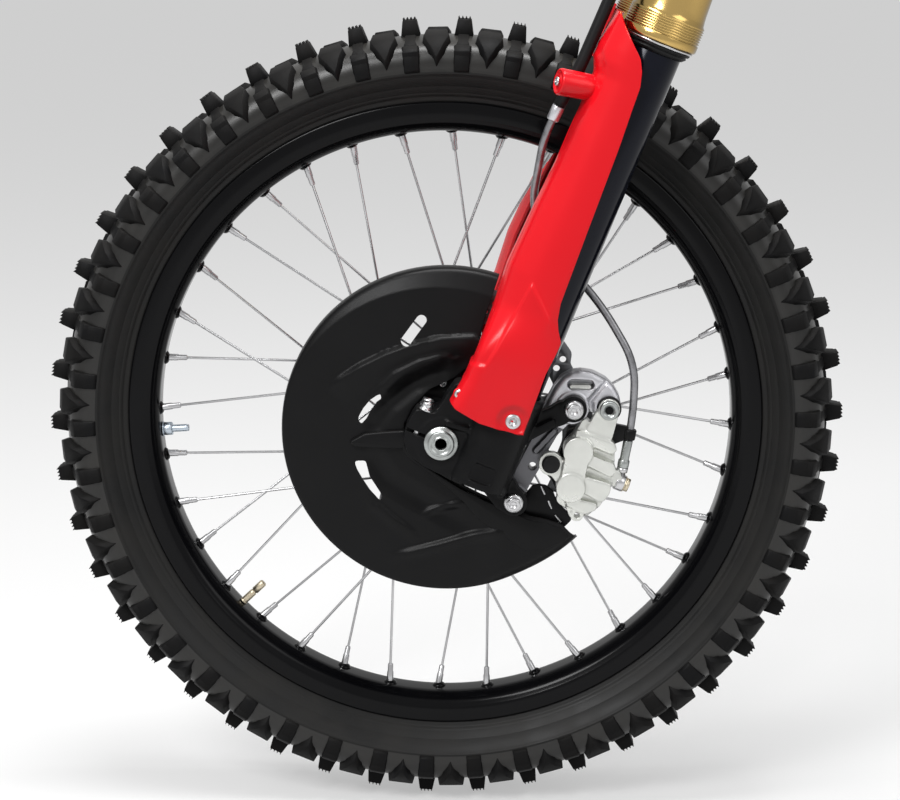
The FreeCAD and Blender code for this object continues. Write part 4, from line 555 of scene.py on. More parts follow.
def tube(points, radius, steps=10):
    # a round bar through the points, which may bend
    verts, faces = [], []
    last = None
    for i, p in enumerate(points):
        ahead = (points[min(i + 1, len(points) - 1)] - points[max(i - 1, 0)]).normalized()
        side = ahead.orthogonal().normalized() if last is None else (
            last - ahead * last.dot(ahead)).normalized()
        last = side
        up = ahead.cross(side)
        for k in range(steps):
            a = 2 * math.pi * k / steps
            verts.append(p + mm * radius * (side * math.cos(a) + up * math.sin(a)))
    for i in range(len(points) - 1):
        for k in range(steps):
            m = (k + 1) % steps
            faces.append((i * steps + k, i * steps + m, (i + 1) * steps + m, (i + 1) * steps + k))
    faces.append(tuple(range(steps)))
    faces.append(tuple((len(points) - 1) * steps + k for k in range(steps)))
    return verts, faces


def makeSpokes(side):
    word = "left" if side < 0 else "right"
    wire, r, n = lacing["wire"], lacing["nippleRadius"], lacing["nipple"]
    bars = []
    for number in (0, 1):
        hub, foot, end = spokeLine(side, number)
        outward = (end - hub).normalized()
        # the bent end goes through the flange and ends in a small head
        inward = Vector((0, side * (-1 if number % 2 else 1), 0))
        through = inward * mm * (lacing["flange"] + 2.4)
        verts, faces = tube([
            hub + through, hub + through * 0.35, hub + inward * mm * 0.9 + outward * mm * 0.5,
            hub + outward * mm * 2.6, hub + outward * mm * 60, foot + outward * mm * 2], wire, 8)
        bars.append(newPiece("wire", verts, faces, spokeSteel, 50))
        outline = [(0, 0), (0, r * 0.62), (0.8, r * 0.80), (n * 0.42, r * 0.82), (n * 0.46, r * 0.98),
                   (n * 0.95, r * 1.02), (n + 0.6, r * 1.05), (n + 0.6, 0)]
        bars.append(lathe("nipple", outline, foot, end, 12, spokeSteel, 40, False))
        head = hub + through
        bars.append(lathe("head", [(-0.6, 0), (-0.5, 1.3), (0, 2.0), (0.5, 1.6), (0.5, 0)], head,
                          head + inward, 12, spokeSteel, 40, False))
    pair = joined(word + "LacedSpokes", bars, spokeSteel)
    ringOf(pair, lacing["pairs"] // 2, spokeSteel, 45)
    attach(pair, "wheel")
    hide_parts(word + "_spokes")


for side in (-1, 1):
    makeSpokes(side)
print("rim and spokes made")


# outlines and solid shapes in the leg's own directions

def besideAxle(a, y, b):
    return axle + mm * Vector((a, y, b))


def onDeck(a, u, y):
    return alongLeg(a, y, u)


def bendLine(start, here, end, steps):
    # a soft corner from start past here to end
    out = []
    for k in range(steps + 1):
        t = k / steps
        out.append(start * (1 - t) ** 2 + here * 2 * t * (1 - t) + end * t * t)
    return out


def softLine(corners, radius, steps=4):
    # a closed outline with its corners rounded; a corner may bring its own radius
    out = []
    count = len(corners)
    for i, corner in enumerate(corners):
        here = Vector(corner[:2])
        before = Vector(corners[i - 1][:2]) - here
        after = Vector(corners[(i + 1) % count][:2]) - here
        own = corner[2] if len(corner) > 2 else radius
        half = before.angle(after) / 2
        # nearly straight on, it stays as it is
        if half > 1.5:
            out.append(here)
            continue
        reach = min(own / math.tan(half), before.length * 0.48, after.length * 0.48)
        out += bendLine(here + before.normalized() * reach, here, here + after.normalized() * reach, steps)
    return out


def slab(outline, inner, outer, side=nearSide, spot=alongLeg, material=None):
    # a plate from one distance off the middle plane to another
    count = len(outline)
    verts = [spot(p[0], side * inner, p[1]) for p in outline]
    verts += [spot(p[0], side * outer, p[1]) for p in outline]
    faces = [tuple(range(count)), tuple(range(count, 2 * count))]
    faces += [(i, (i + 1) % count, count + (i + 1) % count, count + i) for i in range(count)]
    return newPiece("slab", verts, faces, material)


def rod(start, end, radius, steps=32, material=None):
    verts, faces = tube([start, end], radius, steps)
    return newPiece("rod", verts, faces, material)


def crossRod(a, b, radius, inner, outer, side=nearSide):
    return rod(alongLeg(a, side * inner, b), alongLeg(a, side * outer, b), radius)


def ringLine(radius, steps=32, a=0.0, b=0.0):
    return [(a + radius * math.cos(2 * math.pi * i / steps), b + radius * math.sin(2 * math.pi * i / steps))
            for i in range(steps)]


def capsule(a, b, radius, steps=12):
    run = math.atan2(b[1] - a[1], b[0] - a[0])
    out = []
    for centre, base in ((b, run - math.pi / 2), (a, run + math.pi / 2)):
        for k in range(steps + 1):
            t = base + math.pi * k / steps
            out.append((centre[0] + radius * math.cos(t), centre[1] + radius * math.sin(t)))
    return out


def insetLine(outline, by):
    # the same closed outline moved inward
    area = sum(p[0] * q[1] - q[0] * p[1] for p, q in zip(outline, outline[1:] + outline[:1]))
    turn = 1 if area > 0 else -1
    out = []
    for i, here in enumerate(outline):
        before, after = outline[i - 1], outline[(i + 1) % len(outline)]
        run = Vector((after[0] - before[0], after[1] - before[1])).normalized()
        out.append((here[0] - turn * by * run.y, here[1] + turn * by * run.x))
    return out


def cutAway(piece, cutters):
    for cutter in cutters:
        modify(piece, "BOOLEAN", operation="DIFFERENCE", solver="MANIFOLD", object=cutter)
    settle(piece)
    for cutter in cutters:
        bpy.data.objects.remove(cutter)


def casting(name, parts, cuts, material, grid, fewer=0.45):
    # solid shapes run together with soft corners, as a foundry leaves them
    whole, hollow = joined(name, parts, material), joined("cuts", cuts, material)
    for piece in (whole, hollow):
        modify(piece, "REMESH", mode="VOXEL", voxel_size=grid * mm)
        settle(piece)
    cutAway(whole, [hollow])
    modify(whole, "REMESH", mode="VOXEL", voxel_size=grid * mm)
    modify(whole, "SMOOTH", factor=0.5, iterations=3)
    modify(whole, "DECIMATE", ratio=fewer)
    settle(whole)
    whole.data.materials.clear()
    whole.data.materials.append(material)
    shadeByAngle(whole.data, 60)
    return whole


def ease01(x):
    x = min(max(x, 0.0), 1.0)
    return x * x * (3 - 2 * x)


def readOff(table, x):
    # a value read off a table of steps, with straight lines between them
    if x <= table[0][0]:
        return table[0][1]
    for (a, p), (b, q) in zip(table, table[1:]):
        if x <= b:
            return p + (q - p) * (x - a) / (b - a)
    return table[-1][1]


def smoothPath(points, steps):
    # a curve through the points
    out = []
    spots = [Vector(p) for p in points]
    for i in range(len(spots) - 1):
        p0 = spots[max(i - 1, 0)]
        p1, p2 = spots[i], spots[i + 1]
        p3 = spots[min(i + 2, len(spots) - 1)]
        for k in range(steps):
            t = k / steps
            out.append(0.5 * (2 * p1 + (p2 - p0) * t + (2 * p0 - 5 * p1 + 4 * p2 - p3) * t ** 2
                              + (3 * p1 - p0 - 3 * p2 + p3) * t ** 3))
    out.append(spots[-1])
    return out


def evenly(points, count):
    # the same line with its points evenly spread
    lengths = [0.0]
    for a, b in zip(points, points[1:]):
        lengths.append(lengths[-1] + (b - a).length)
    out, k = [], 0
    for i in range(count):
        want = lengths[-1] * i / (count - 1)
        while k < len(points) - 2 and lengths[k + 1] < want:
            k += 1
        run = lengths[k + 1] - lengths[k]
        out.append(points[k].lerp(points[k + 1], (want - lengths[k]) / run if run else 0.0))
    return out


def fromSegment(spot, p, q):
    # how far a spot lies from a segment, at what share of it, and on which side
    run = Vector((q[0] - p[0], q[1] - p[1]))
    off = spot - Vector(p[:2])
    share = min(max(off.dot(run) / max(run.length_squared, 1e-9), 0.0), 1.0)
    return (off - run * share).length, share, run.cross(off)


def insideOutline(outline, a, b):
    # signed distance to a closed outline, positive inside
    best, inside = 1e9, False
    for i, q in enumerate(outline):
        p = outline[i - 1]
        best = min(best, fromSegment(Vector((a, b)), p, q)[0])
        if (p[1] > b) != (q[1] > b) and a < p[0] + (b - p[1]) * (q[0] - p[0]) / (q[1] - p[1]):
            inside = not inside
    return best if inside else -best


# leg guards: moulded shells with a raised lower panel, screw pockets and a clamp for the hose

shield = {
    "wall": 2.8, "side": 34.5, "across": 84, "up": 210, "base": 30.0, "top": 390.6,
    "panelRise": 1.5, "panelEdge": 2.6, "foldDepth": 1.1, "foldWidth": 5.0,
    "pocketDepth": 3.4, "pocketRadius": 8.8, "pocketEase": 6.5,
    # nearer the middle plane than the first, the front wall ends above the lug, at the second
    "frontWall": (17.5, 58.5), "footRow": 18,
    "leftFront": [(38, -6.0), (64, -2.0), (124, -2.7), (163, -5.6), (217, -3.0), (257, 0.0), (285, 0.4),
                  (306, 1.4), (338, 1.0), (345, -2.0), (350, -4.4), (361, -4.8), (377, -2.7), (391, -0.6)],
    "leftRear": [(30, 59.8), (60, 59.0), (92, 57.8), (112, 59.6), (121, 60.0), (130, 54.0), (138, 50.2),
                 (151, 47.3), (218, 44.9), (289, 42.6), (322, 40.6), (341, 39.6), (353, 36.1), (362, 31.2),
                 (375, 16.4), (384, 6.8), (391, 0.4)],
    "rightFront": [(38, -6.0), (64, -2.0), (124, -2.7), (163, -5.6), (217, -3.0), (257, 0.0), (306, 1.4),
                   (391, -0.6)],
    "rightRear": [(30, 59.8), (60, 59.0), (92, 57.8), (120, 60.0), (152, 68.0), (209, 79.3), (266, 84.5),
                  (304, 82.8), (331, 71.5), (350, 54.0), (367, 31.0), (375, 16.4), (384, 6.8), (391, 0.4)],
    "foot": [(-7, 42.4), (1.5, 36.0), (22.8, 32.6), (53.4, 35.0), (62, 38.2)],
    # sections from the inner edge round the front to the rear edge: share of the reach forward
    # (or back in mm), and share of the reach outward
    "low": [(0.86, -0.56), (0.97, -0.20), (1.0, 0.35), (0.985, 0.8), (0.84, 1.02), (0.45, 1.06),
            (-9.0, 1.06), (-24.0, 0.99)],
    "leftHigh": [(0.86, -0.56), (0.97, -0.20), (1.0, 0.12), (0.88, 0.56), (0.52, 0.89), (0.05, 1.0),
                 (-8.0, 0.985), (-24.0, 0.86)],
    "rightHigh": [(0.86, -0.56), (0.97, -0.20), (1.0, 0.12), (0.88, 0.56), (0.52, 0.89), (0.02, 1.0),
                  (-24.0, 0.92), (-50.0, 0.58)],
    "panel": [(19, 158), (33, 146), (48, 132), (59, 122), (66, 110), (66, 20), (-14, 20), (-14, 72),
              (-4, 76.5), (8.5, 80), (11.4, 94.5)],
    "crease": [(-1.4, 390.5), (-2.1, 355.5), (4.8, 344.3), (7.0, 327.7), (3.9, 306.6), (0.0, 271.4)],
    "frontScrew": (-2.4, 48.4), "rearScrew": (48.0, 44.1), "screwSeat": 127.9,
    "clamp": ((-24.0, -119, 319.6), (8, -107, 325.0)),
}


def shieldSection(u, word):
    front = legBack - readOff(shield[word + "Front"], u)
    blend = ease01((u - 86) / 50)
    points = []
    for (a, b), (c, d) in zip(shield["low"], shield[word + "High"]):
        reach = a + (c - a) * blend
        points.append((legBack - (front * reach if a > 0 else reach), shield["side"] * (b + (d - b) * blend)))
    line = smoothPath(points, 12)
    rear = readOff(shield[word + "Rear"], u)
    kept = [line[0]]
    for p, q in zip(line, line[1:]):
        if q.x > rear and q.x > p.x:
            kept.append(p.lerp(q, (rear - p.x) / (q.x - p.x)))
            break
        kept.append(q)
    return evenly(kept, shield["across"])


def shieldPoint(v, y, u, section, i):
    # raised lower panel, a fold on the outer side and the hollows around the screws
    ahead = section[min(i + 1, len(section) - 1)] - section[max(i - 1, 0)]
    normal = Vector((-ahead.y, ahead.x)).normalized()
    if normal.y < 0 and v > 10:
        normal = -normal
    rise = shield["panelRise"] * ease01(insideOutline(shield["panel"], v, u) / shield["panelEdge"] + 0.5)
    rise *= ease01((v + 3.5) / 5.0) if u > 76 else 1.0
    fold = pocket = 0.0
    if y > 0:
        gap = min(fromSegment(Vector((v, u)), p, q)[0] for p, q in zip(shield["crease"], shield["crease"][1:]))
        fold = shield["foldDepth"] * (1 - ease01(gap / shield["foldWidth"]))
    if y > 20:
        back, up = shield["rearScrew"]
        gap = math.hypot(v - back, u - up) - shield["pocketRadius"]
        pocket = shield["pocketDepth"] * (1 - ease01(gap / shield["pocketEase"]))
    return Vector((v, y)) + normal * (rise - pocket - fold)


def makeShield(side):
    word = "left" if side == nearSide else "right"
    base, top, rows, width = shield["base"], shield["top"], shield["up"], shield["across"]
    sections = [shieldSection(base + (top - base) * j / rows, word) for j in range(rows + 1)]
    verts = [None] * width * (rows + 1)
    for i in range(width):
        # each strip starts at the lower edge: the front wall above the lug, the side below it
        first = sections[shield["footRow"]][i]
        wall, low = shield["frontWall"]
        if first.y >= wall:
            low = readOff(shield["foot"], first.x)
        for j in range(rows + 1):
            u = low + (top - low) * j / rows
            near = (u - base) / (top - base) * rows
            k = min(int(near), rows - 1)
            p = sections[k][i].lerp(sections[k + 1][i], near - k)
            q = shieldPoint(p.x, p.y, u, sections[k + 1], i)
            verts[j * width + i] = alongLeg(q.x, side * (legSide + q.y), u)
    faces = []
    for j in range(rows):
        for i in range(width - 1):
            corners = (j * width + i, j * width + i + 1, (j + 1) * width + i + 1, (j + 1) * width + i)
            a, b, c, d = (verts[k] for k in corners)
            if (a - d).length > 1e-7 and max((a - b).length, (c - d).length) < 0.01:
                faces.append(corners)
    shell = newPiece(word + "Shell", verts, faces, redPlastic)
    modify(shell, "SOLIDIFY", thickness=shield["wall"] * mm, offset=-1.0)
    settle(shell)
    parts = [roundEdges(shell, 0.7, 2, 55, 50)]
    seat = shield["screwSeat"]
    for (back, up), radius, outer in ((shield["rearScrew"], 7.6, 133.6), (shield["frontScrew"], 5.0, 130.4)):
        parts.append(lathe("boss", [(0, 2.6), (0, radius), (outer - seat, radius), (outer - seat, 2.6)],
                           alongLeg(back, side * seat, up), alongLeg(back, side * (seat + 10), up), 32,
                           redPlastic, 40))
    if side == nearSide:
        start, end = shield["clamp"]
        parts.append(lathe("hoseClamp", [
            (0.0, 0.0), (0.0, 3.2), (1.4, 3.6), (1.4, 8.6), (0.2, 9.2), (0.9, 10.8), (2.2, 11.2), (24.0, 11.0),
            (31.0, 10.6), (34.0, 10.2), (34.0, 0.0)],
            alongLeg(*start), alongLeg(*end), 48, redPlastic, 35, False))
    keep(word + "RedGuard", parts, "fork", word + "_leg_guard", redPlastic)


for side in (-1, 1):
    makeShield(side)
print("leg guards made")


# disc guard: a dish with a bevelled band, pressed vanes, slots and a raised edge at the opening

dish = {
    "wall": 2.2, "steps": 240, "rings": 92, "flat": 74.4, "face": 138.0, "centre": (2.5, 1.0),
    "edge": [         # radius and distance of the outside from the middle plane
        (138.0, 74.4), (139.6, 74.2), (140.9, 73.4), (141.8, 72.0), (142.4, 70.0), (142.7, 67.0),
        (142.8, 55.2)],
    "band": (-3.9, -13.85, 140.6, 0.52),      # centre, radius and fall of the crescent along the upper edge
    # pressed lines: height, width on the left and right of the line, and places with a share of the height
    "vanes": [
        (5.4, 22.0, 3.0, [(27.0, 83.6, 0.7), (21.0, 83.5, 0.8), (-2.6, 82.3, 1.0), (-28.4, 76.0, 1.0),
                          (-49.9, 67.8, 1.0), (-71.4, 56.7, 0.9), (-88.7, 45.5, 0.5), (-97.4, 36.6, 0.0)]),
        (3.6, 13.0, 3.5, [(4.0, 66.6, 0.4), (-2.5, 66.2, 0.8), (-19.7, 61.6, 1.0), (-41.2, 50.4, 1.0),
                          (-52.0, 40.6, 0.9), (-62.8, 30.4, 0.3)]),
        (-3.6, 11.0, 11.0, [(-6.0, 50.0, 0.3), (-26.0, 41.0, 1.0), (-46.0, 24.0, 1.0), (-58.0, 8.0, 0.7)]),
        (-4.0, 12.0, 12.0, [(-58.0, -26.0, 0.7), (-46.0, -44.0, 1.0), (-22.0, -58.0, 1.0), (6.0, -74.0, 0.8),
                            (26.0, -84.0, 0.2)]),
        (3.4, 4.0, 6.0, [(-44.0, -112.0, 0.1), (-27.9, -107.7, 0.9), (-1.7, -100.6, 1.0), (28.8, -91.1, 1.0),
                         (46.2, -87.3, 0.8), (56.0, -90.0, 0.0)]),
        (2.6, 2.4, 5.0, [(-14.0, -71.4, 0.3), (-8.4, -69.1, 0.9), (6.8, -64.4, 1.0), (17.7, -62.1, 0.6)]),
        (2.6, 3.0, 8.0, [(-58.0, -62.0, 0.3), (-56.4, -65.2, 0.8), (-41.1, -78.5, 1.0), (-25.8, -89.6, 0.3)]),
    ],
    "opening": [(-33.5, 8, 12), (-33.5, -8, 9), (-19.5, -23.8, 14), (8.4, -41.5, 30), (32.8, -53.9, 30),
                (74.8, -71.8, 30), (92.2, -75.2, 20), (104.4, -79.4, 6), (128.0, -103.8, 2), (165, -118, 2),
                (200, 0, 2),
                (150, 160, 2), (58.0, 156, 2), (47.0, 135.0, 8), (38, 108, 20), (26, 62, 20), (9, 48, 14),
                (-12, 38, 20), (-26, 22, 14)],
    "slot": ((-31.8, 80.2), (-18.6, 98.6), 4.5),
    "crescents": [
        [(-73.2, 10.5), (-72.2, 14.2), (-68.6, 20.9), (-62.8, 28.3), (-56.3, 32.9), (-53.6, 33.8),
         (-53.0, 29.1), (-57.0, 26.5), (-62.1, 19.0), (-66.0, 11.6), (-70.6, 6.3)],
        [(-77.0, -25.8), (-74.1, -34.0), (-69.1, -42.8), (-63.2, -51.7), (-53.7, -62.2), (-52.6, -56.1),
         (-57.4, -48.5), (-63.2, -39.6), (-66.8, -25.8)]],
    # raised beams: the arm along the lower edge of the opening and the spar to the left of it
    "arm": [(-34.0, -8.0), (-34.0, -14.9), (-28.1, -22.4), (-15.1, -31.2), (6.7, -48.8), (19.9, -61.5),
            (28.7, -72.4), (41.8, -82.6), (52.4, -87.0), (61.0, -96.0), (72.0, -103.0), (90.0, -102.0),
            (107.0, -94.0), (111.0, -90.0), (103.0, -82.2), (91.0, -78.0), (74.0, -75.0), (54.7, -66.0),
            (37.3, -58.8), (16.3, -48.4), (-6.4, -34.0), (-21.6, -24.4), (-29.6, -14.0)],
    "spar": [(-81.1, -8.4), (-67.2, -0.6), (-50.0, 1.2), (-31.6, 2.4), (-31.6, -13.4), (-58.5, -13.4),
             (-76.4, -12.4)],
    "beamFoot": 72.6, "armTop": 80.6, "sparTop": 79.9,
    "soft": 1.5,           # rounds the tops of the vanes
    "lift": 5.8,           # of the face towards the arm
    # in these degrees the edge runs out by so much and its wall gets shallow
    "lowerEnd": (90, 124, 155), "runOut": 8.4, "shallow": 70.5,
    "web": [(66, -30), (80, -24), (87.4, -24), (90, -15), (95, -11.5), (101.1, -10.5), (108.8, -13),
            (113.4, -18.3), (119, -22.5), (129.9, -26.1), (133.3, -31.2), (130, -39), (118.9, -45.2),
            (103.9, -46), (92, -46), (74, -48)],
}


def vaneRise(x, z):
    total = 0.0
    for height, left, right, line in dish["vanes"]:
        best, value = 1e9, 0.0
        for p, q in zip(line, line[1:]):
            gap, share, turn = fromSegment(Vector((x, z)), p, q)
            gap = math.hypot(gap, dish["soft"]) - dish["soft"]
            if gap < best:
                best = gap
                value = (p[2] + (q[2] - p[2]) * share) * (1 - ease01(gap / (left if turn > 0 else right)))
        total += height * value
    return total


def dishSpot(x, z, y):
    cx, cz, reach, fall = dish["band"]
    drop = fall * max(0.0, math.hypot(x - cx, z - cz) - reach)
    return besideAxle(x, nearSide * (y - min(drop, y - dish["edge"][-1][1])), z)


def makeDish():
    steps, rings, face = dish["steps"], dish["rings"], dish["face"]
    outline = [(4.0 + (face - 4.0) * k / rings, dish["flat"]) for k in range(rings)] + dish["edge"]
    count = len(outline)
    cx, cz = dish["centre"]
    begin, full, end = dish["lowerEnd"]
    verts, faces = [], []
    for i in range(steps):
        a = 2 * math.pi * i / steps
        turn = math.degrees(a)
        share = ease01((turn - begin) / (full - begin))
        share *= (max(0.0, end - max(turn, full)) / (end - full)) ** 1.5
        for r, y in outline:
            reach = r + dish["runOut"] * share * ease01((r - 112) / 28)
            y += max(0.0, dish["shallow"] - y) * share
            x, z = cx + reach * math.sin(a), cz + reach * math.cos(a)
            lift = dish["lift"] * ease01((x - 22) / 32) * ease01((-62 - z) / 14) * ease01((142 - r) / 9)
            verts.append(dishSpot(x, z, y + vaneRise(x, z) * ease01((132.0 - r) / 10.0) + lift))
        j = (i + 1) % steps
        faces += [(i * count + k, j * count + k, j * count + k + 1, i * count + k + 1)
                  for k in range(count - 1)]
    shell = newPiece("dish", verts, faces, guardPlastic)
    if sum(f.normal.y for f in shell.data.polygons) > 0:
        shell.data.flip_normals()
    modify(shell, "SOLIDIFY", thickness=dish["wall"] * mm, offset=-1.0)
    settle(shell)
    tidyMesh(shell.data)
    holes = [capsule(*dish["slot"])] + [softLine(line, 3, 3) for line in dish["crescents"]]
    cutAway(shell, [slab(softLine(dish["opening"], 8, 5), 40, 100, spot=besideAxle)]
            + [slab(line, 60, 100, spot=besideAxle) for line in holes])
    parts = [roundEdges(shell, 0.5, 2, 50, 45)]
    for name in ("arm", "spar"):
        beam = slab(softLine(dish[name], 3.5, 4), dish["beamFoot"], dish[name + "Top"], spot=besideAxle,
                    material=guardPlastic)
        parts.append(roundEdges(beam, 1.6, 3, 40))
    parts.append(roundEdges(slab(softLine(dish["web"], 3, 3), 68.0, 71.4, material=guardPlastic), 0.6, 2))
    keep("blackDiscGuard", parts, "fork", "disc_guard", guardPlastic)


makeDish()
print("disc guard made")


# bolts and screws

def hexHead(start, axisTo, radius, height, material, hollow=0.55):
    out = [(0, 0), (0, radius), (height * 0.86, radius), (height, radius * 0.9), (height, radius * hollow),
           (height * 0.72, radius * hollow * 0.86), (height * 0.72, 0)]
    return lathe("head", out, start, axisTo, 6, material, 20, False)


def flangeBolt(spot, outward, flange, head, height, material):
    base = lathe("flange", [
        (0, 0), (0, flange * 0.97), (0.5, flange), (1.5, flange * 0.98), (2.6, flange * 0.84),
        (3.2, head * 0.95), (3.2, 0)], spot, spot + outward, 40, material, 40, False)
    top = hexHead(spot + outward * mm * 2.4, spot + outward, head, height, material)
    return [base, top]


def buttonScrew(spot, outward, radius, height, material, socket=0.45):
    hole = radius * socket
    base = lathe("button", [(0, 0), (0, radius), (height * 0.4, radius * 0.99), (height * 0.75, radius * 0.88),
                            (height, radius * 0.66), (height, hole * 1.12), (height * 0.94, hole * 1.1)],
                 spot, spot + outward, 40, material, 50, False)
    well = lathe("socket", [(height * 0.94, hole * 1.12), (height * 0.9, hole), (height * 0.35, hole * 0.9),
                            (height * 0.3, 0)], spot, spot + outward, 6, material, 20, False)
    return [base, well]


lateral = Vector((0, nearSide, 0))
upLeg = (alongLeg(0, 0, 1) - alongLeg(0, 0, 0)).normalized()
backLeg = (alongLeg(1, 0, 0) - alongLeg(0, 0, 0)).normalized()
brake = {
    "upperBolt": (95.0, 66.0), "lowerBolt": (78.1, -29.0), "slidePin": (123.6, 76.3), "boot": (95.4, 13.6),
    "upperPiston": (113.0, 32.5), "lowerPiston": (118.9, 0.8),
    "boltSeat": 100.3, "pinSeat": 94.9,
}


def makeBolts():
    bolts = []
    for back, up in (brake["upperBolt"], brake["lowerBolt"]):
        seat = alongLeg(back, nearSide * brake["boltSeat"], up)
        bolts += flangeBolt(seat, lateral, 8.5, 6.4, 4.4, brightSteel)
        bolts.append(crossRod(back, up, 4.3, 84, brake["boltSeat"]))
    keep("bracketBolts", bolts, "fork", "bracket_bolts", brightSteel)
    bolts = []
    for side in (-1, 1):
        for share in (0.27, 0.77):
            seat = alongLeg(-22.5, side * (86 + 29 * share), 20.3)
            bolts += flangeBolt(seat, upLeg, 6.6, 5.3, 4.6, brightSteel)
            bolts.append(rod(seat, seat - upLeg * mm * 29.5, 3.0, steps=16, material=brightSteel))
    keep("pinchBolts", bolts, "fork", "pinch_bolts", brightSteel)
    bolts = []
    for side in (-1, 1):
        outward = Vector((0, side, 0))
        for (back, up), radius, seat, height in ((shield["frontScrew"], 4.1, 130.7, 2.1),
                                                 (shield["rearScrew"], 6.7, 134.1, 2.1)):
            spot = alongLeg(back, side * seat, up)
            bolts += buttonScrew(spot, outward, radius, height, brightSteel)
            bolts.append(rod(spot, spot - outward * mm * 9, 2.2, steps=16, material=brightSteel))
    spot, end = (alongLeg(*p) for p in shield["clamp"])
    bolts += buttonScrew(spot, (spot - end).normalized(), 3.8, 1.8, brightSteel)
    keep("guardScrews", bolts, "fork", "guard_screws", brightSteel)
    one = joined("discBolt", buttonScrew(onWheel(-63.6, 42, 0), lateral, 3.95, 3.9, brightSteel), brightSteel)
    ringOf(one, 6, brightSteel, smooth=40)
    keep("discBolts", [one], "wheel", "disc_bolts", brightSteel)
    bolts = []
    for side in (-1, 1):
        outward = Vector((0, side, 0))
        for lift in (-9, 9):
            spot = alongLeg(legBack + 44.5, side * 115.3, 710 + lift)
            bolts += buttonScrew(spot, outward, 6.7, 7.6, brightSteel, 0.5)
            bolts.append(rod(spot, spot - outward * mm * 26.5, 4.0, steps=16, material=brightSteel))
    keep("yokeBolts", bolts, "fork", "yoke_bolts", brightSteel)


makeBolts()


# axle, its nut, spacers, valve and rim lock

def makeAxle():
    head = wheelLathe("axleHead", [
        (-115.3, 0), (-115.3, 14.4), (-116.0, 14.6), (-117.6, 14.6), (-118.3, 14.0), (-118.5, 12.4),
        (-119.0, 12.0), (-119.1, 11.0), (-120.6, 10.9), (-121.2, 10.4), (-121.3, 8.6), (-120.4, 8.2),
        (-120.2, 6.4), (-121.0, 6.0), (-121.0, 5.2), (-120.0, 4.9), (-115.3, 4.9)], 64, turnedSteel, 28)
    # painted shade: the hollow in the axle's end is lined in black paint where its steel would lie in shade
    bore = wheelLathe("bore", [(-120.2, 4.95), (-92.0, 4.6), (-92.0, 0), (-91.0, 0), (-91.0, 5.6),
                               (-119.8, 5.6)], 48, castBlack, 28)
    shaft = wheelLathe("axleShaft", [(-115.3, 5.8), (-115.3, 12.0), (114.0, 12.0), (116.0, 11.4),
                                     (126.2, 11.4), (127.2, 10.6), (127.2, 5.8)], 48, brightSteel, 28)
    keep("wheelAxle", [head, bore, shaft], "fork", "axle")
    nut = wheelLathe("nut", [(115.3, 12.4), (115.3, 16.9), (123.6, 17.0), (124.9, 15.6), (124.9, 12.4)], 6,
                     brightSteel, 20)
    washer = wheelLathe("washer", [(115.3, 12.3), (115.3, 16.2), (117.0, 16.2), (117.0, 12.3)], 48,
                        brightSteel, 30)
    keep("axleNut", [nut, washer], "fork", "axle_nut", brightSteel)
    for word, a, b in (("left", -85.7, -68.3), ("right", 56.3, 85.7)):
        piece = wheelLathe(word + "WheelSpacer", [
            (a, 12.3), (a, 14.6), (a + 0.9, 15.5), (a + 5, 15.5), (a + 6, 14.4), (b - 6, 14.4), (b - 5, 15.5),
            (b - 0.9, 15.5), (b, 14.6), (b, 12.3)], 64, brightSteel, 30)
        keep(word + "Spacer", [piece], "fork", word + "_spacer", brightSteel)


def makeValve():
    angle = math.radians(-133.9)
    foot, tip = onWheel(0, 254.4, angle), onWheel(0, 227.6, angle)
    threads = []
    for k in range(14):
        threads += [(1.4 + 0.8 * k, 3.45), (1.8 + 0.8 * k, 3.05)]
    line = [(0, 0), (0, 3.55), (1.2, 3.55)] + threads + [(13.2, 3.4), (13.6, 2.7), (15.0, 2.7), (15.3, 3.5),
                                                         (25.6, 3.4), (26.4, 2.8), (26.5, 0)]
    keep("tyreValve", [lathe("stem", line, foot, tip, 24, brassFinish, 35, False)], "wheel", "valve",
         brassFinish)
    angle = math.radians(-93.6)
    foot, tip = onWheel(0, 254.4, angle), onWheel(0, 230.6, angle)
    line = [(0, 0), (0, 6.6), (1.2, 6.6), (1.2, 3.5)]
    for k in range(16):
        line += [(8.8 + 0.84 * k, 3.5), (9.2 + 0.84 * k, 3.05)]
    line += [(23.2, 3.2), (23.8, 2.4), (23.8, 0)]
    stud = lathe("stud", line, foot, tip, 24, zincBlue, 35, False)
    nut = lathe("nut", [(1.2, 3.3), (1.2, 6.3), (1.7, 6.6), (8.2, 6.6), (8.9, 6.0), (8.9, 3.3)], foot, tip, 6,
                zincBlue, 20)
    keep("rimLock", [stud, nut], "wheel", "rim_lock", zincBlue)


makeAxle()
makeValve()


# hub and brake disc

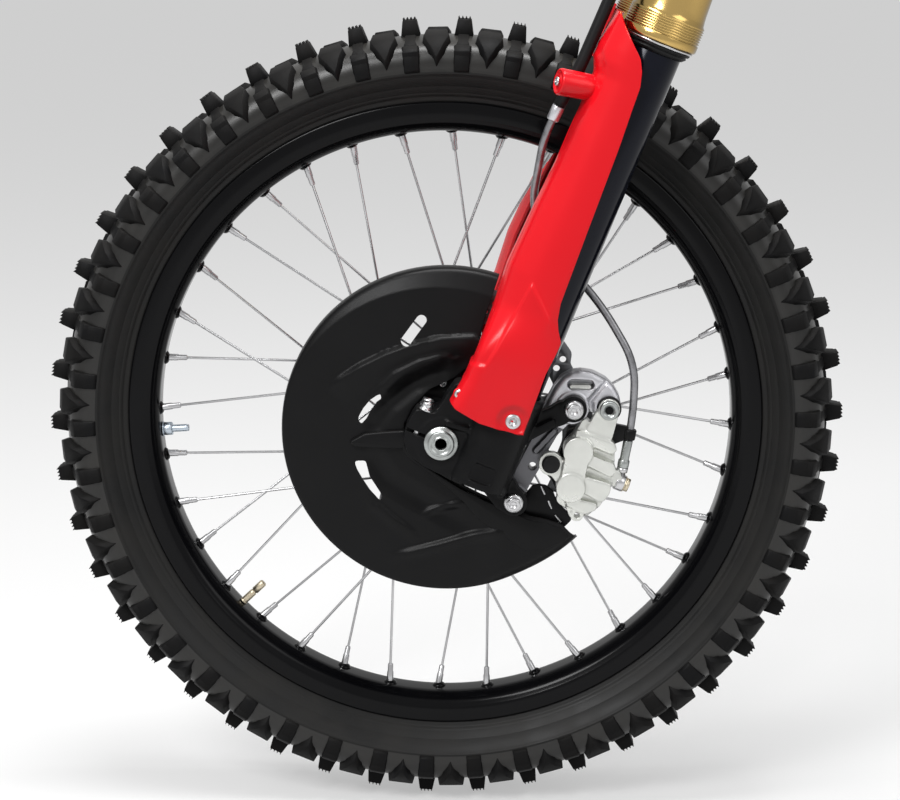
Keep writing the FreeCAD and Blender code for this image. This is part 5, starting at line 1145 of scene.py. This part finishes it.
def makeHub():
    body = wheelLathe("hubBody", [
        (-68.0, 12.4), (-68.0, 20.0), (-67.2, 21.5), (-64.0, 24.3), (-60.2, 24.4), (-60.0, 49.2), (-59.2, 50.0),
        (-55.0, 50.0), (-54.0, 49.0), (-53.4, 30.0), (-50.0, 25.4), (-35.2, 24.5), (-33.4, 27.0), (-33.0, 31.0),
        (-32.4, 46.9), (-31.4, 47.9), (-28.6, 47.9), (-27.6, 46.9), (-27.0, 31.0), (-25.0, 24.2), (-20.0, 21.4),
        (20.0, 21.4), (25.0, 24.2), (27.0, 31.0), (27.6, 46.9), (28.6, 47.9), (31.4, 47.9), (32.4, 46.9),
        (33.0, 31.0), (33.4, 27.0), (36.0, 24.5), (52.0, 24.5), (55.4, 23.6), (56.0, 22.6), (56.0, 12.4)],
        96, hubBlack, 30)
    holes = []
    for flange in (-30.0, 30.0):
        for k in range(9):
            a = 2 * math.pi * (k + 0.5) / 9
            holes.append(rod(onWheel(flange - 8, 34.5, a), onWheel(flange + 8, 34.5, a), 3.6, steps=20))
    for k in range(6):
        a = 2 * math.pi * (k + 0.5) / 6
        holes.append(rod(onWheel(-64, 38.0, a), onWheel(-50, 38.0, a), 7.0, steps=28))
    cutAway(body, [joined("holes", holes, hubBlack)])
    shadeByAngle(body.data, 30)
    keep("wheelHub", [body], "wheel", "hub", hubBlack)


disc = {
    "lobe": 52.0, "reach": 130.8, "valley": 125.2, "turn": 10.5, "steps": 480, "bore": 24.8,
    "thick": (60.3, 63.3), "carrier": (60.2, 63.4), "carrierRadius": 66, "cut": (55, 70),
    # radius, place within a twelfth and size
    "holes": [(121.3, -0.028, 2.9), (112.6, 0.007, 2.9), (120.0, -0.135, 3.8), (110.5, -0.20, 2.9)],
}


def discCut(line):
    return slab(line, *disc["cut"], spot=besideAxle)


def makeDisc():
    line = []
    for i in range(disc["steps"]):
        a = 360 * i / disc["steps"]
        off = abs((a - disc["lobe"] + 15) % 30 - 15)
        r = disc["valley"] + (disc["reach"] - disc["valley"]) * (1 - ease01((off - 5.4) / 4.6))
        line.append((r * math.sin(math.radians(a)), r * math.cos(math.radians(a))))
    # the window between two arms, turned to each of its six places
    window = [(9, 50), (15.5, 98)] + [
        (104 * math.sin(t), 104 * math.cos(t)) for t in (0.25, 0.4, 0.55, 0.7, 0.85, 0.98)] + [(83, 47)] + [
        (52 * math.sin(t), 52 * math.cos(t)) for t in (0.93, 0.75, 0.55, 0.35)]
    windows = []
    for k in range(6):
        turn = math.pi / 3 * k + math.radians(disc["turn"])
        c, s = math.cos(turn), math.sin(turn)
        windows.append(softLine([(x * c + z * s, z * c - x * s) for x, z in window], 5, 3))
    bore = ringLine(disc["bore"], 64)
    holes = [ringLine(size, 20, r * math.sin(math.pi / 6 * k + off), r * math.cos(math.pi / 6 * k + off))
             for k in range(12) for r, off, size in disc["holes"]]
    plate = slab(line, *disc["thick"], spot=besideAxle, material=discSteel)
    cutAway(plate, [joined("cuts", [discCut(line) for line in [bore] + windows + holes], discSteel)])
    carrier = slab(ringLine(disc["carrierRadius"], 96), *disc["carrier"], spot=besideAxle, material=castBlack)
    cutAway(carrier, [joined("windows", [discCut(line) for line in windows], castBlack), discCut(bore)])
    for piece in (plate, carrier):
        roundEdges(piece, 0.35, 1, 50, 25)
    keep("waveDisc", [plate, carrier], "wheel", "brake_disc")


makeHub()
makeDisc()
print("hub and disc made")


# fork tubes, seals and caps

def makeLeg(side):
    word = "left" if side < 0 else "right"
    inner = legLathe("slider", [(4.2, 0), (4.2, 22.8), (5.2, 23.5), (559.0, 23.5), (560.0, 22.5), (560.0, 0)],
                     side, 96, tubeCoat, 30)
    keep(word + "Slider", [inner], "fork", word + "_inner_tube", tubeCoat)
    line = [(380.2, 23.8), (380.2, 31.2), (381.0, 32.2), (382.4, 32.5), (386.8, 32.5)]
    for k in range(7):
        u = 387.0 + 2.1 * k
        line += [(u, 32.4), (u + 0.4, 31.5), (u + 1.0, 31.5), (u + 1.4, 32.3)]
    line += [(402.2, 31.6), (403.4, 30.6), (406.8, 30.0), (412.0, 29.4), (430.0, 28.4), (470.0, 28.4),
             (560.0, 29.0), (829.6, 29.0), (831.4, 28.9), (837.8, 27.0), (926.6, 27.0), (928.0, 26.0),
             (928.0, 23.8)]
    outer = legLathe("outer", line, side, 96, goldAnodised, 30)
    keep(word + "Outer", [outer], "fork", word + "_outer_tube", goldAnodised)
    wiper = legLathe("wiper", [(370.8, 23.8), (370.8, 24.6), (371.8, 25.6), (373.0, 27.2), (374.0, 27.4),
                               (374.4, 26.8), (375.0, 26.8), (375.4, 28.4), (376.4, 29.2), (377.4, 29.4),
                               (377.6, 23.8)], side, 96, sealRubber, 30)
    band = legLathe("band", [(377.6, 24.0), (377.6, 29.4), (378.2, 30.6), (379.4, 30.9), (379.7, 30.2),
                             (379.7, 24.0)], side, 96, brightSteel, 30)
    keep(word + "Wiper", [wiper, band], "fork", word + "_dust_seal")
    cap = legLathe("cap", [
        (928.3, 0), (928.3, 25.4), (930.0, 25.5), (936.0, 25.5), (937.6, 24.6), (938.4, 21.0),
        (939.0, 16.0), (942.3, 15.6), (942.3, 0)], side, 72, hubBlack, 30)
    foot = alongLeg(legBack, side * legSide, 938)
    crown = lathe("crown", [(0, 0), (0, 12.6), (3.4, 12.6), (4.3, 11.6), (4.3, 6.4), (2.6, 6.0), (2.6, 0)],
                  foot, foot + upLeg, 8, hubBlack, 20, False)
    knob = lathe("knob", [(3, 0), (3, 4.6), (8.6, 4.6), (9.4, 3.8), (9.4, 0)], foot, foot + upLeg, 24,
                 redPlastic, 30, False)
    keep(word + "Cap", [cap, crown, knob], "fork", word + "_fork_cap")


for side in (-1, 1):
    makeLeg(side)
print("legs made")


# axle lugs

def makeLug(side):
    word = "left" if side < 0 else "right"
    parts = [
        slab(softLine([(-31, 20), (-33, 2), (-31, -10), (-22, -20.5), (-6, -25), (20, -27.5), (46, -27),
                       (63, -24), (64, 14), (61, 46), (44, 50), (8, 55), (-8, 54), (-11, 40),
                       (-14, 20.5)], 7, 4), 87, 114, side),
        crossRod(0, 0, 21.5, 86, 114.8, side),
        rod(alongLeg(legBack, side * legSide, -24), alongLeg(legBack, side * legSide, 64), 27.5, steps=64),
        rod(alongLeg(legBack, side * legSide, 57), alongLeg(legBack, side * legSide, 63.5), 28.6, steps=64),
        slab(softLine([(-31, 10), (-31, 19.8), (-13, 19.8), (-13, 10)], 3), 87.5, 113.5, side),
        crossRod(2, 49, 5.2, 108, 127, side),
        crossRod(48, 44, 7.4, 120, 127, side),
        slab(softLine([(-4, 20), (44, 24), (46, 20), (-2, 15)], 1.5), 87, 117, side),
        slab(softLine([(20, -27), (24, 4), (28, 4), (30, -27)], 1.5), 87, 118, side),
        slab(softLine([(56, -24), (60, 40), (63, 38), (64, -24)], 1.5), 87, 117, side),
    ]
    cuts = [
        crossRod(0, 0, 12.3, 80, 120, side),
        slab([(-40, -1.2), (-10, -1.2), (-10, 1.2), (-40, 1.2)], 109, 120, side),
        rod(alongLeg(legBack, side * legSide, 6), alongLeg(legBack, side * legSide, 70), 23.8, steps=64),
        slab(softLine([(31, -18), (32, -2), (52, -2), (53, -18)], 3), 124, 130, side),
    ]
    if side == nearSide:
        parts += [
            slab(softLine([(50, 26), (62, 6), (73, 31), (84, 43), (96, 53.5), (84, 71.5), (75, 59), (66, 50),
                           (56, 42)], 5), 86, 99.4),
            slab(softLine([(58, 27), (64, 20), (86, 47), (82, 54)], 3), 86, 104),
            slab(softLine([(46, -8), (60, 6), (70, -10), (86, -22), (90, -32), (79, -41), (66, -39),
                           (46, -27)], 6), 86, 99.4),
            slab(softLine([(52, -20), (56, -12), (70, -20), (66, -30)], 3), 86, 106),
            crossRod(*brake["upperBolt"], 11.3, 86, 100.2), crossRod(*brake["lowerBolt"], 12, 86, 100.2)]
        cuts += [crossRod(*brake["upperBolt"], 4.7, 80, 110), crossRod(*brake["lowerBolt"], 4.7, 80, 110)]
    for share in (0.27, 0.77):
        seat = alongLeg(-22.5, side * (86 + 29 * share), 26)
        cuts.append(rod(seat, seat - upLeg * mm * 36, 3.4, steps=16))
    body = casting(word + "Foot", parts, cuts, castBlack, 0.95)
    keep(word + "Lug", [body], "fork", word + "_axle_lug", castBlack)


for side in (-1, 1):
    makeLug(side)
print("lugs made")


# caliper, its bracket, pins and pads

def byDisc(shares):
    return [(130 * p[0], 130 * p[1], *p[2:]) for p in shares]


def makeBracket():
    plate = [(68, -34), (70, 0), (73.6, 39), (71.6, 54), (71.8, 64), (72.6, 75), (75.4, 86), (81, 93),
             (89, 97.6), (99, 99.8), (111.8, 98.6), (120.5, 94.8), (128.3, 88.6), (133.2, 81), (132, 69),
             (117, 68), (108, 66), (99, 54), (92, 37), (88.5, 12), (88.6, 2), (87.5, -5), (86, -18), (84, -36)]
    arch = softLine([(71.4, 48), (71.8, 64), (72.6, 75), (75.4, 86), (81, 93), (89, 97.6), (99, 99.8),
                     (111.8, 98.6), (112.6, 96.0), (105.6, 75), (98, 58), (88, 44)], 5, 6)
    beyond = softLine([(112.4, 98.4), (120.5, 94.8), (128.3, 88.6), (133.2, 81), (128, 69), (113, 66),
                       (106.4, 75)], 4, 5)
    parts = [slab(softLine(plate, 9, 5), 70.0, 84.0), crossRod(94.6, 64.8, 14.2, 78, 88.6),
             crossRod(*brake["lowerBolt"], 11.6, 78, 85.7), crossRod(*brake["slidePin"], 8.5, 78, 85.7),
             crossRod(*brake["boot"], 8.5, 78, 85.7), slab(capsule((80, 18), (88, 40), 2.4), 78, 87)]
    for by, top in ((0.2, 84.8), (0.9, 85.8), (1.8, 86.6), (3.0, 87.3), (4.4, 87.7)):
        parts.append(slab(insetLine(arch, by), 80.0, top))
        parts.append(slab(insetLine(beyond, by), 80.0, top - 0.9))
    cuts = [slab(capsule((86.8, 83.4), (100.2, 88.6), 4.3), 73, 95),
            crossRod(*brake["upperBolt"], 4.7, 70, 95), crossRod(*brake["lowerBolt"], 4.7, 70, 95),
            crossRod(82.4, 3.8, 3.4, 66, 95)]
    body = casting("bracketCasting", parts, cuts, castGrey, 0.75)
    body.data.materials.append(castShade)
    # painted shade: faces lower up the leg than this level take the darker copy of the alloy
    paintedShadeLevel = alongLeg(85, 0, 44).dot(upLeg)
    for face in body.data.polygons:
        face.material_index = 1 if face.center.dot(upLeg) < paintedShadeLevel else 0
    # lower wall of the slot, a separate piece in the paler caliper alloy: a painted highlight, lighter as if
    # lit from above
    paintedHighlightLip = slab(capsule((87.4, 81.2), (101.0, 86.4), 2.1), 74, 85.2, material=castSilver)
    keep("caliperBracket", [body, roundEdges(paintedHighlightLip, 0.8, 2)], "fork", "caliper_bracket")


def makeCaliper():
    upper, lower, slide, boot = brake["upperPiston"], brake["lowerPiston"], brake["slidePin"], brake["boot"]
    outer = byDisc([(0.79, 0.33), (0.83, 0.20), (0.835, 0.02), (0.862, -0.13), (1.0, -0.162), (1.092, -0.15),
                    (1.15, -0.046), (1.168, 0.112), (1.12, 0.277), (1.075, 0.385), (0.985, 0.455),
                    (0.87, 0.45)])
    inner = byDisc([(0.80, 0.354), (0.80, 0.231), (0.831, 0.0), (0.892, -0.108), (1.046, -0.108),
                    (1.092, -0.160), (1.15, -0.046), (1.168, 0.112), (1.12, 0.277), (1.075, 0.385),
                    (1.008, 0.446), (0.862, 0.431)])
    bridge = byDisc([(1.05, -0.105), (1.092, -0.16), (1.15, -0.046), (1.168, 0.112), (1.12, 0.277),
                     (1.075, 0.385), (1.008, 0.44), (0.99, 0.338), (1.026, 0.185), (1.05, 0.031)])
    parts = [
        slab(softLine(outer, 7), 72.0, 88.5),
        slab(softLine(inner, 6), 42.2, 52.3),
        slab(softLine(bridge, 4), 43, 84),
        slab(capsule(upper, lower, 10.2, 16), 74, 97.6),
        crossRod(*upper, 13.0, 74, 97.8), crossRod(*lower, 12.6, 74, 98.6),
        slab(capsule((boot[0] + 2, boot[1]), (lower[0] - 6, lower[1] + 4), 7.6), 80, 94.3),
        crossRod(*boot, 10.6, 86.4, 93.6),
        crossRod(*slide, 9.2, 86.4, 94.4),
        slab(softLine([(114, 74), (112, 52), (124, 44), (136, 52), (133, 76)], 4), 84, 93.0),
        slab(softLine([(106, 62), (104, 44), (126, 44), (122, 56)], 3), 76, 92),
        slab(softLine([(104, 50), (106, 42), (140, 40.5), (144, 46), (138, 51.5)], 3.4), 74, 95.0),
        slab(softLine([(118, 33.5), (118, 24.5), (147.4, 22), (150, 29), (145, 34)], 3.4), 74, 95.2),
        slab(softLine([(120, 14), (120, 2), (149.6, -2), (152, 8), (150.6, 17)], 4), 74, 95.8),
        slab(softLine([(118, -8), (122, -16), (140, -17), (147, -10), (146, -4)], 3.4), 74, 93.4),
        crossRod(133.5, -20.5, 5.6, 78, 92),
        slab(softLine([(118, -12), (128, -25), (139, -22), (140, -10)], 3), 78, 91),
        crossRod(150.5, 20.5, 7.6, 75, 86),
    ]
    cuts = [crossRod(*slide, 5.3, 80, 100), crossRod(*boot, 5.3, 80, 100), crossRod(133.5, -20.5, 2.6, 70, 100),
            slab(softLine([(125, 40), (125, 35.4), (149, 34.6), (149, 40.2)], 1.2), 86.5, 99),
            slab(softLine([(126, 22.4), (126, 16.6), (155, 17), (155, 22)], 1.2), 87, 99)]
    body = casting("caliperCasting", parts, cuts, castSilver, 0.8)
    keep("brakeCaliper", [body], "fork", "caliper", castSilver)


def makePins():
    head = [(-18, 0), (-18, 5.0), (-0.6, 5.0), (-0.4, 8.2), (0.6, 8.5), (3.2, 8.4), (4.2, 7.4), (4.3, 5.4),
            (3.4, 5.0), (3.2, 3.6), (-2.0, 3.4), (-2.0, 0)]
    cuff = [(-9, 5.4), (-9, 9.8), (-8.2, 10.6), (-4.4, 10.6), (-3.6, 9.8), (-3.6, 5.4)]
    folds = [(-18, 0), (-18, 5.0), (-0.4, 5.0), (-0.4, 7.4), (0.6, 7.9), (1.4, 7.3), (2.0, 7.7), (3.0, 7.2),
             (3.6, 6.0), (3.8, 0)]
    back, up = brake["slidePin"]
    seat = alongLeg(back, nearSide * brake["pinSeat"], up)
    parts = [lathe("pinHead", head, seat, seat + lateral, 48, turnedSteel, 30, False),
             # painted shade: a black disc closes the socket in the pin head just under its mouth, where the
             # steel would lie in shade
             rod(seat + lateral * mm * 1.4, seat + lateral * mm * 2.2, 3.5, material=castBlack),
             lathe("pinBoot", cuff, seat, seat + lateral, 48, sealRubber, 40)]
    back, up = brake["boot"]
    seat = alongLeg(back, nearSide * brake["pinSeat"], up)
    parts.append(lathe("bootFolds", folds, seat, seat + lateral, 48, sealRubber, 40, False))
    keep("caliperPins", parts, "fork", "caliper_pins")
    pads = []
    shape = softLine(byDisc([(0.77, 0.323), (0.777, -0.015), (0.846, -0.077), (0.969, -0.062), (0.962, 0.154),
                             (0.931, 0.292), (0.815, 0.354)]), 4)
    for a, b, material in ((64.1, 68.4, padMaterial), (68.4, 71.0, castBlack), (56.0, 59.5, padMaterial),
                           (53.0, 56.0, castBlack)):
        pads.append(roundEdges(slab(shape, a, b, material=material), 0.4, 1))
    for start, end in (((107.9, -22.1), (113.1, -27.7)), ((97.0, -12.5), (103.0, -18.0)),
                       ((118.2, -32.0), (125.4, -36.0))):
        start, end = (alongLeg(v, nearSide * 72.2, u) for v, u in (start, end))
        pads.append(rod(start, end, 0.9, steps=10, material=brightSteel))
    keep("brakePads", pads, "fork", "brake_pads")


makeBracket()
makeCaliper()
makePins()
print("brake made")


# hose, its sheath, fittings and clips

def routeLine(points, turn=0.45, steps=8):
    out = [points[0]]
    for before, here, after in zip(points, points[1:], points[2:]):
        back, ahead = before - here, after - here
        reach = turn * min(back.length, ahead.length)
        out += bendLine(here + back.normalized() * reach, here, here + ahead.normalized() * reach, steps)
    return out + [points[-1]]


def hoseTube(name, points, radius, material):
    return newPiece(name, *tube(points, radius, 20), material, 40)


hose = {
    "braid": [(155.2, -80, 31.6), (146, -83, 76), (129.5, -87.5, 121), (80, -81, 159), (26.5, -63, 181),
              (-3, -71, 212), (-15.9, -98, 270), (-14.6, -101, 300)],
    "sheath": [(-14.5, -101.05, 300.5), (-10.6, -103.4, 334), (-9.1, -104.2, 400), (-7.6, -106.5, 560),
               (-7.6, -105, 700), (-8.5, -103, 755)],
    "radius": 3.4, "sheathRadius": 5.4,
}


def makeHose():
    line = routeLine([alongLeg(*p) for p in hose["braid"]])
    braid = hoseTube("braid", line, hose["radius"], braidSteel)
    parts = [braid]
    # crimped ferrule by the caliper, and a collar where the sheath begins
    low, after = line[0], line[1]
    parts.append(lathe("ferrule", [(0, 3.2), (0, 4.6), (1, 5.0), (6, 5.0), (7, 4.2), (8, 4.0), (24, 4.2),
                                   (25, 3.7), (25, 3.2)], low, after, 28, turnedSteel, 30))
    top, before = line[-1], line[-2]
    parts.append(lathe("collar", [(0, 3.2), (0, 5.0), (0.8, 5.3), (12, 5.3), (13, 4.6), (13, 3.2)], top, before,
                       28, castGrey, 30))
    # plastic guide that holds the hose beside the caliper
    guide = alongLeg(148.9, -82.3, 61)
    parts.append(lathe("guide", [(-4.6, 3.3), (-4.6, 5.2), (-3.8, 5.8), (3.8, 5.8), (4.6, 5.2), (4.6, 3.3)],
                       guide, guide + (after - low).normalized(), 28, guardPlastic, 30))
    arm = slab(softLine([(129, 64), (145, 67), (149, 57), (140, 48.5), (133.5, 52)], 2), 79, 86,
               material=guardPlastic)
    parts.append(roundEdges(arm, 0.6, 2))
    keep("brakeHose", parts, "fork", "brake_hose")
    line = routeLine([alongLeg(*p) for p in hose["sheath"]])
    cover = hoseTube("sheathTube", line, hose["sheathRadius"], hoseRubber)
    keep("hoseSheath", [cover], "fork", "hose_sheath")
    # banjo eyes
    parts, eyes = [], []
    for end, fall, axis, neck in ((alongLeg(155.2, -80, 31.6), low - after, backLeg, 6.5),
                                  (line[-1], line[-1] - line[-2], Vector((0, 1, 0)), 26.0)):
        fall = fall.normalized()
        middle = end + fall * mm * (neck + 7.5)
        eyes.append(middle)
        start = middle - axis * mm * 4
        parts.append(lathe("eye", [(0, 4.5), (0, 6.8), (0.7, 7.5), (7.3, 7.5), (8, 6.8), (8, 4.5)], start,
                           start + axis, 40, brightSteel, 30))
        parts.append(lathe("neck", [(0, 0), (0, 4.9), (neck * 0.62, 4.9), (neck * 0.7, 3.6), (neck + 2, 3.4),
                                    (neck + 2, 0)], end, end + fall, 24, brightSteel, 30, False))
    keep("hoseFittings", parts, "fork", "hose_fittings", brightSteel)
    seat = eyes[0] + backLeg * mm * 4.3
    washer = lathe("washer", [(-0.4, 4.6), (-0.4, 7.0), (0.3, 7.0), (0.3, 4.6)], seat, seat + backLeg, 32,
                   brassFinish, 30)
    bolt = [washer, hexHead(seat, seat + backLeg, 6.7, 4.0, brassFinish, 0.4),
            rod(seat, seat - backLeg * mm * 8.4, 4.0, steps=20, material=brightSteel)]
    keep("banjoBolt", bolt, "fork", "banjo_bolt")
    v, y = hose["sheath"][-2][:2]
    ring = slab(softLine([(v - 8.2, y - 6), (v - 8.2, y + 6), (v + 2, y + 7.5), (legBack - 38.8, y + 3),
                          (legBack - 38.8, y - 3), (v + 2, y - 7.5)], 3.5), 694.4, 705.6,
                1, onDeck, guardPlastic)
    roundEdges(ring, 0.8, 2)
    keep("hoseClip", [ring], "fork", "hose_clip", guardPlastic)


makeHose()
print("hose made")


# lower yoke and steering stem

yoke = {
    "low": 691.2, "high": 728.8, "clamp": 37.9, "bore": 29.3, "below": 680, "above": 740,
    "stemBack": 64, "boss": 30, "stemHole": 18.4,
    "plate": [(20, -100), (72, -100), (93, -38), (93, 38), (72, 100), (20, 100), (24, 38), (24, -38)],
}


def makeYoke():
    low, high, below, above, back = (yoke[key] for key in ("low", "high", "below", "above", "stemBack"))
    parts = [slab(softLine(yoke["plate"], 16, 5), low + 4, high - 2, 1, onDeck)]
    cuts = []
    for side in (-1, 1):
        y = side * legSide
        parts.append(rod(alongLeg(legBack, y, low), alongLeg(legBack, y, high), yoke["clamp"], steps=72))
        ear = softLine([(60, y - 14.8), (92.6, y - 14.8), (92.6, y + 14.8), (60, y + 14.8)], 4)
        parts.append(slab(ear, low + 1, high - 1, 1, onDeck))
        cuts.append(rod(alongLeg(legBack, y, below), alongLeg(legBack, y, above), yoke["bore"], steps=72))
        slit = [(50, y - 1.5), (100, y - 1.5), (100, y + 1.5), (50, y + 1.5)]
        cuts.append(slab(slit, below, above, 1, onDeck))
        # hollows under the deck
        hollow = softLine([(46, side * 34), (70, side * 34), (64, side * 56), (46, side * 56)], 5)
        cuts.append(slab(hollow, below, 716, 1, onDeck))
    parts.append(rod(alongLeg(back, 0, low), alongLeg(back, 0, high), yoke["boss"], steps=64))
    cuts.append(rod(alongLeg(back, 0, below), alongLeg(back, 0, above), yoke["stemHole"], steps=64))
    body = casting("yokeCasting", parts, cuts, castBlack, 1.3, 0.5)
    keep("lowerYoke", [body], "fork", "lower_yoke", castBlack)
    foot = alongLeg(back, 0, 0)
    line = [(691, 9.2), (691, 17.4), (692, 18.0), (729.2, 18.0), (729.3, 23.6), (729.8, 24.0), (731.2, 24.0),
            (732.0, 22.6), (733.0, 22.4), (733.0, 15.4), (734.0, 15.0), (917.6, 15.0), (919.2, 12.5),
            (921.0, 12.5)]
    for k in range(22):
        line += [(921.4 + 1.4 * k, 12.5), (922.1 + 1.4 * k, 11.8)]
    line += [(953.6, 12.3), (955.0, 11.4), (955.0, 9.2)]
    stem = lathe("stem", line, foot, alongLeg(back, 0, 100), 64, brightSteel, 28)
    keep("steeringStem", [stem], "fork", "steering_stem", brightSteel)


makeYoke()
print("yoke made")


# camera, floor and light

view = {
    "spot": (-0.26722, -2.10106, -0.20801),
    "pan": -0.0264, "tilt": 0.2053, "roll": 0.0059,
    "lens": 96.0, "sensor": 36.0,
}


def makeCamera():
    pan, tilt, roll = view["pan"], view["tilt"], view["roll"]
    ahead = Vector((math.sin(pan) * math.cos(tilt), math.cos(pan) * math.cos(tilt), -math.sin(tilt)))
    right = ahead.cross(Vector((0, 0, 1))).normalized()
    up = right.cross(ahead)
    turnedRight = right * math.cos(roll) + up * math.sin(roll)
    turnedUp = up * math.cos(roll) - right * math.sin(roll)
    camera = bpy.data.cameras.new("camera")
    camera.lens = view["lens"]
    camera.sensor_width = view["sensor"]
    camera.sensor_fit = "HORIZONTAL"
    holder = place("camera", camera)
    turn = Matrix((turnedRight, turnedUp, -ahead)).transposed().to_4x4()
    holder.matrix_world = Matrix.Translation(Vector(view["spot"])) @ turn
    bpy.context.scene.camera = holder


def paleMaterial(name):
    # matt, and paler where a camera, gloss or glass sees it than where it lights the object
    material = bpy.data.materials.new(name)
    material.use_nodes = True
    tree = material.node_tree
    shader = tree.nodes["Principled BSDF"]
    for key, value in (("Roughness", 0.9), ("Specular IOR Level", 0.0), ("Emission Strength", 1.0)):
        shader.inputs[key].default_value = value
    seen = whereSeen(tree)
    for socket, lit, shown in (("Base Color", 0.32, 0.48), ("Emission Color", 0.0, 0.42)):
        tone = addNode(tree, "ShaderNodeMix", {"A": (lit, lit, lit, 1), "B": (shown, shown, shown, 1)},
                       data_type="RGBA")
        connect(tree, (seen, 0, tone, "Factor"), (tone, "Result", shader, socket))
    return material


def whereSeen(tree):
    path = addNode(tree, "ShaderNodeLightPath")
    seen = addNode(tree, "ShaderNodeMath", operation="MAXIMUM")
    also = addNode(tree, "ShaderNodeMath", operation="MAXIMUM")
    connect(tree, (path, "Is Camera Ray", seen, 0), (path, "Is Glossy Ray", seen, 1), (seen, 0, also, 0),
            (path, "Is Transmission Ray", also, 1))
    return also


stage = {"floor": -1.0126, "half": 40.0, "light": 0.42}


def makeStage():
    h = stage["half"]
    z = stage["floor"]
    floor = newPiece("floor", [(-h, -h, z), (h, -h, z), (h, h, z), (-h, h, z)], [(0, 1, 2, 3)],
                     paleMaterial("paleFloor"))
    world = bpy.data.worlds.new("studio")
    bpy.context.scene.world = world
    world.use_nodes = True
    tree = world.node_tree
    tree.nodes.clear()
    out = addNode(tree, "ShaderNodeOutputWorld")
    lit = addNode(tree, "ShaderNodeBackground", {"Color": (1, 1, 1, 1), "Strength": stage["light"]})
    white = addNode(tree, "ShaderNodeBackground", {"Color": (0.62, 0.62, 0.62, 1), "Strength": 1.0})
    mix = addNode(tree, "ShaderNodeMixShader")
    connect(tree, (whereSeen(tree), 0, mix, "Fac"), (lit, "Background", mix, 1), (white, "Background", mix, 2),
            (mix, "Shader", out, "Surface"))


def addLamp(name, spot, target, size, power):
    lamp = bpy.data.lights.new(name, "AREA")
    lamp.shape = "RECTANGLE"
    lamp.size, lamp.size_y = size
    lamp.energy = power
    holder = place(name, lamp)
    aim = (Vector(target) - Vector(spot)).to_track_quat("-Z", "Y")
    holder.matrix_world = Matrix.Translation(Vector(spot)) @ aim.to_matrix().to_4x4()


makeCamera()
makeStage()
middle = (-0.3, 0.0, -0.5)
addLamp("keyLamp", (-1.6, -2.2, 1.5), middle, (1.1, 1.1), 62)
addLamp("fillLamp", (1.8, -1.8, 0.9), middle, (1.6, 1.6), 14)
addLamp("topLamp", (-0.2, -0.3, 1.9), middle, (1.6, 0.9), 58)
bpy.context.scene.view_settings.view_transform = "Standard"
print("camera and light set")
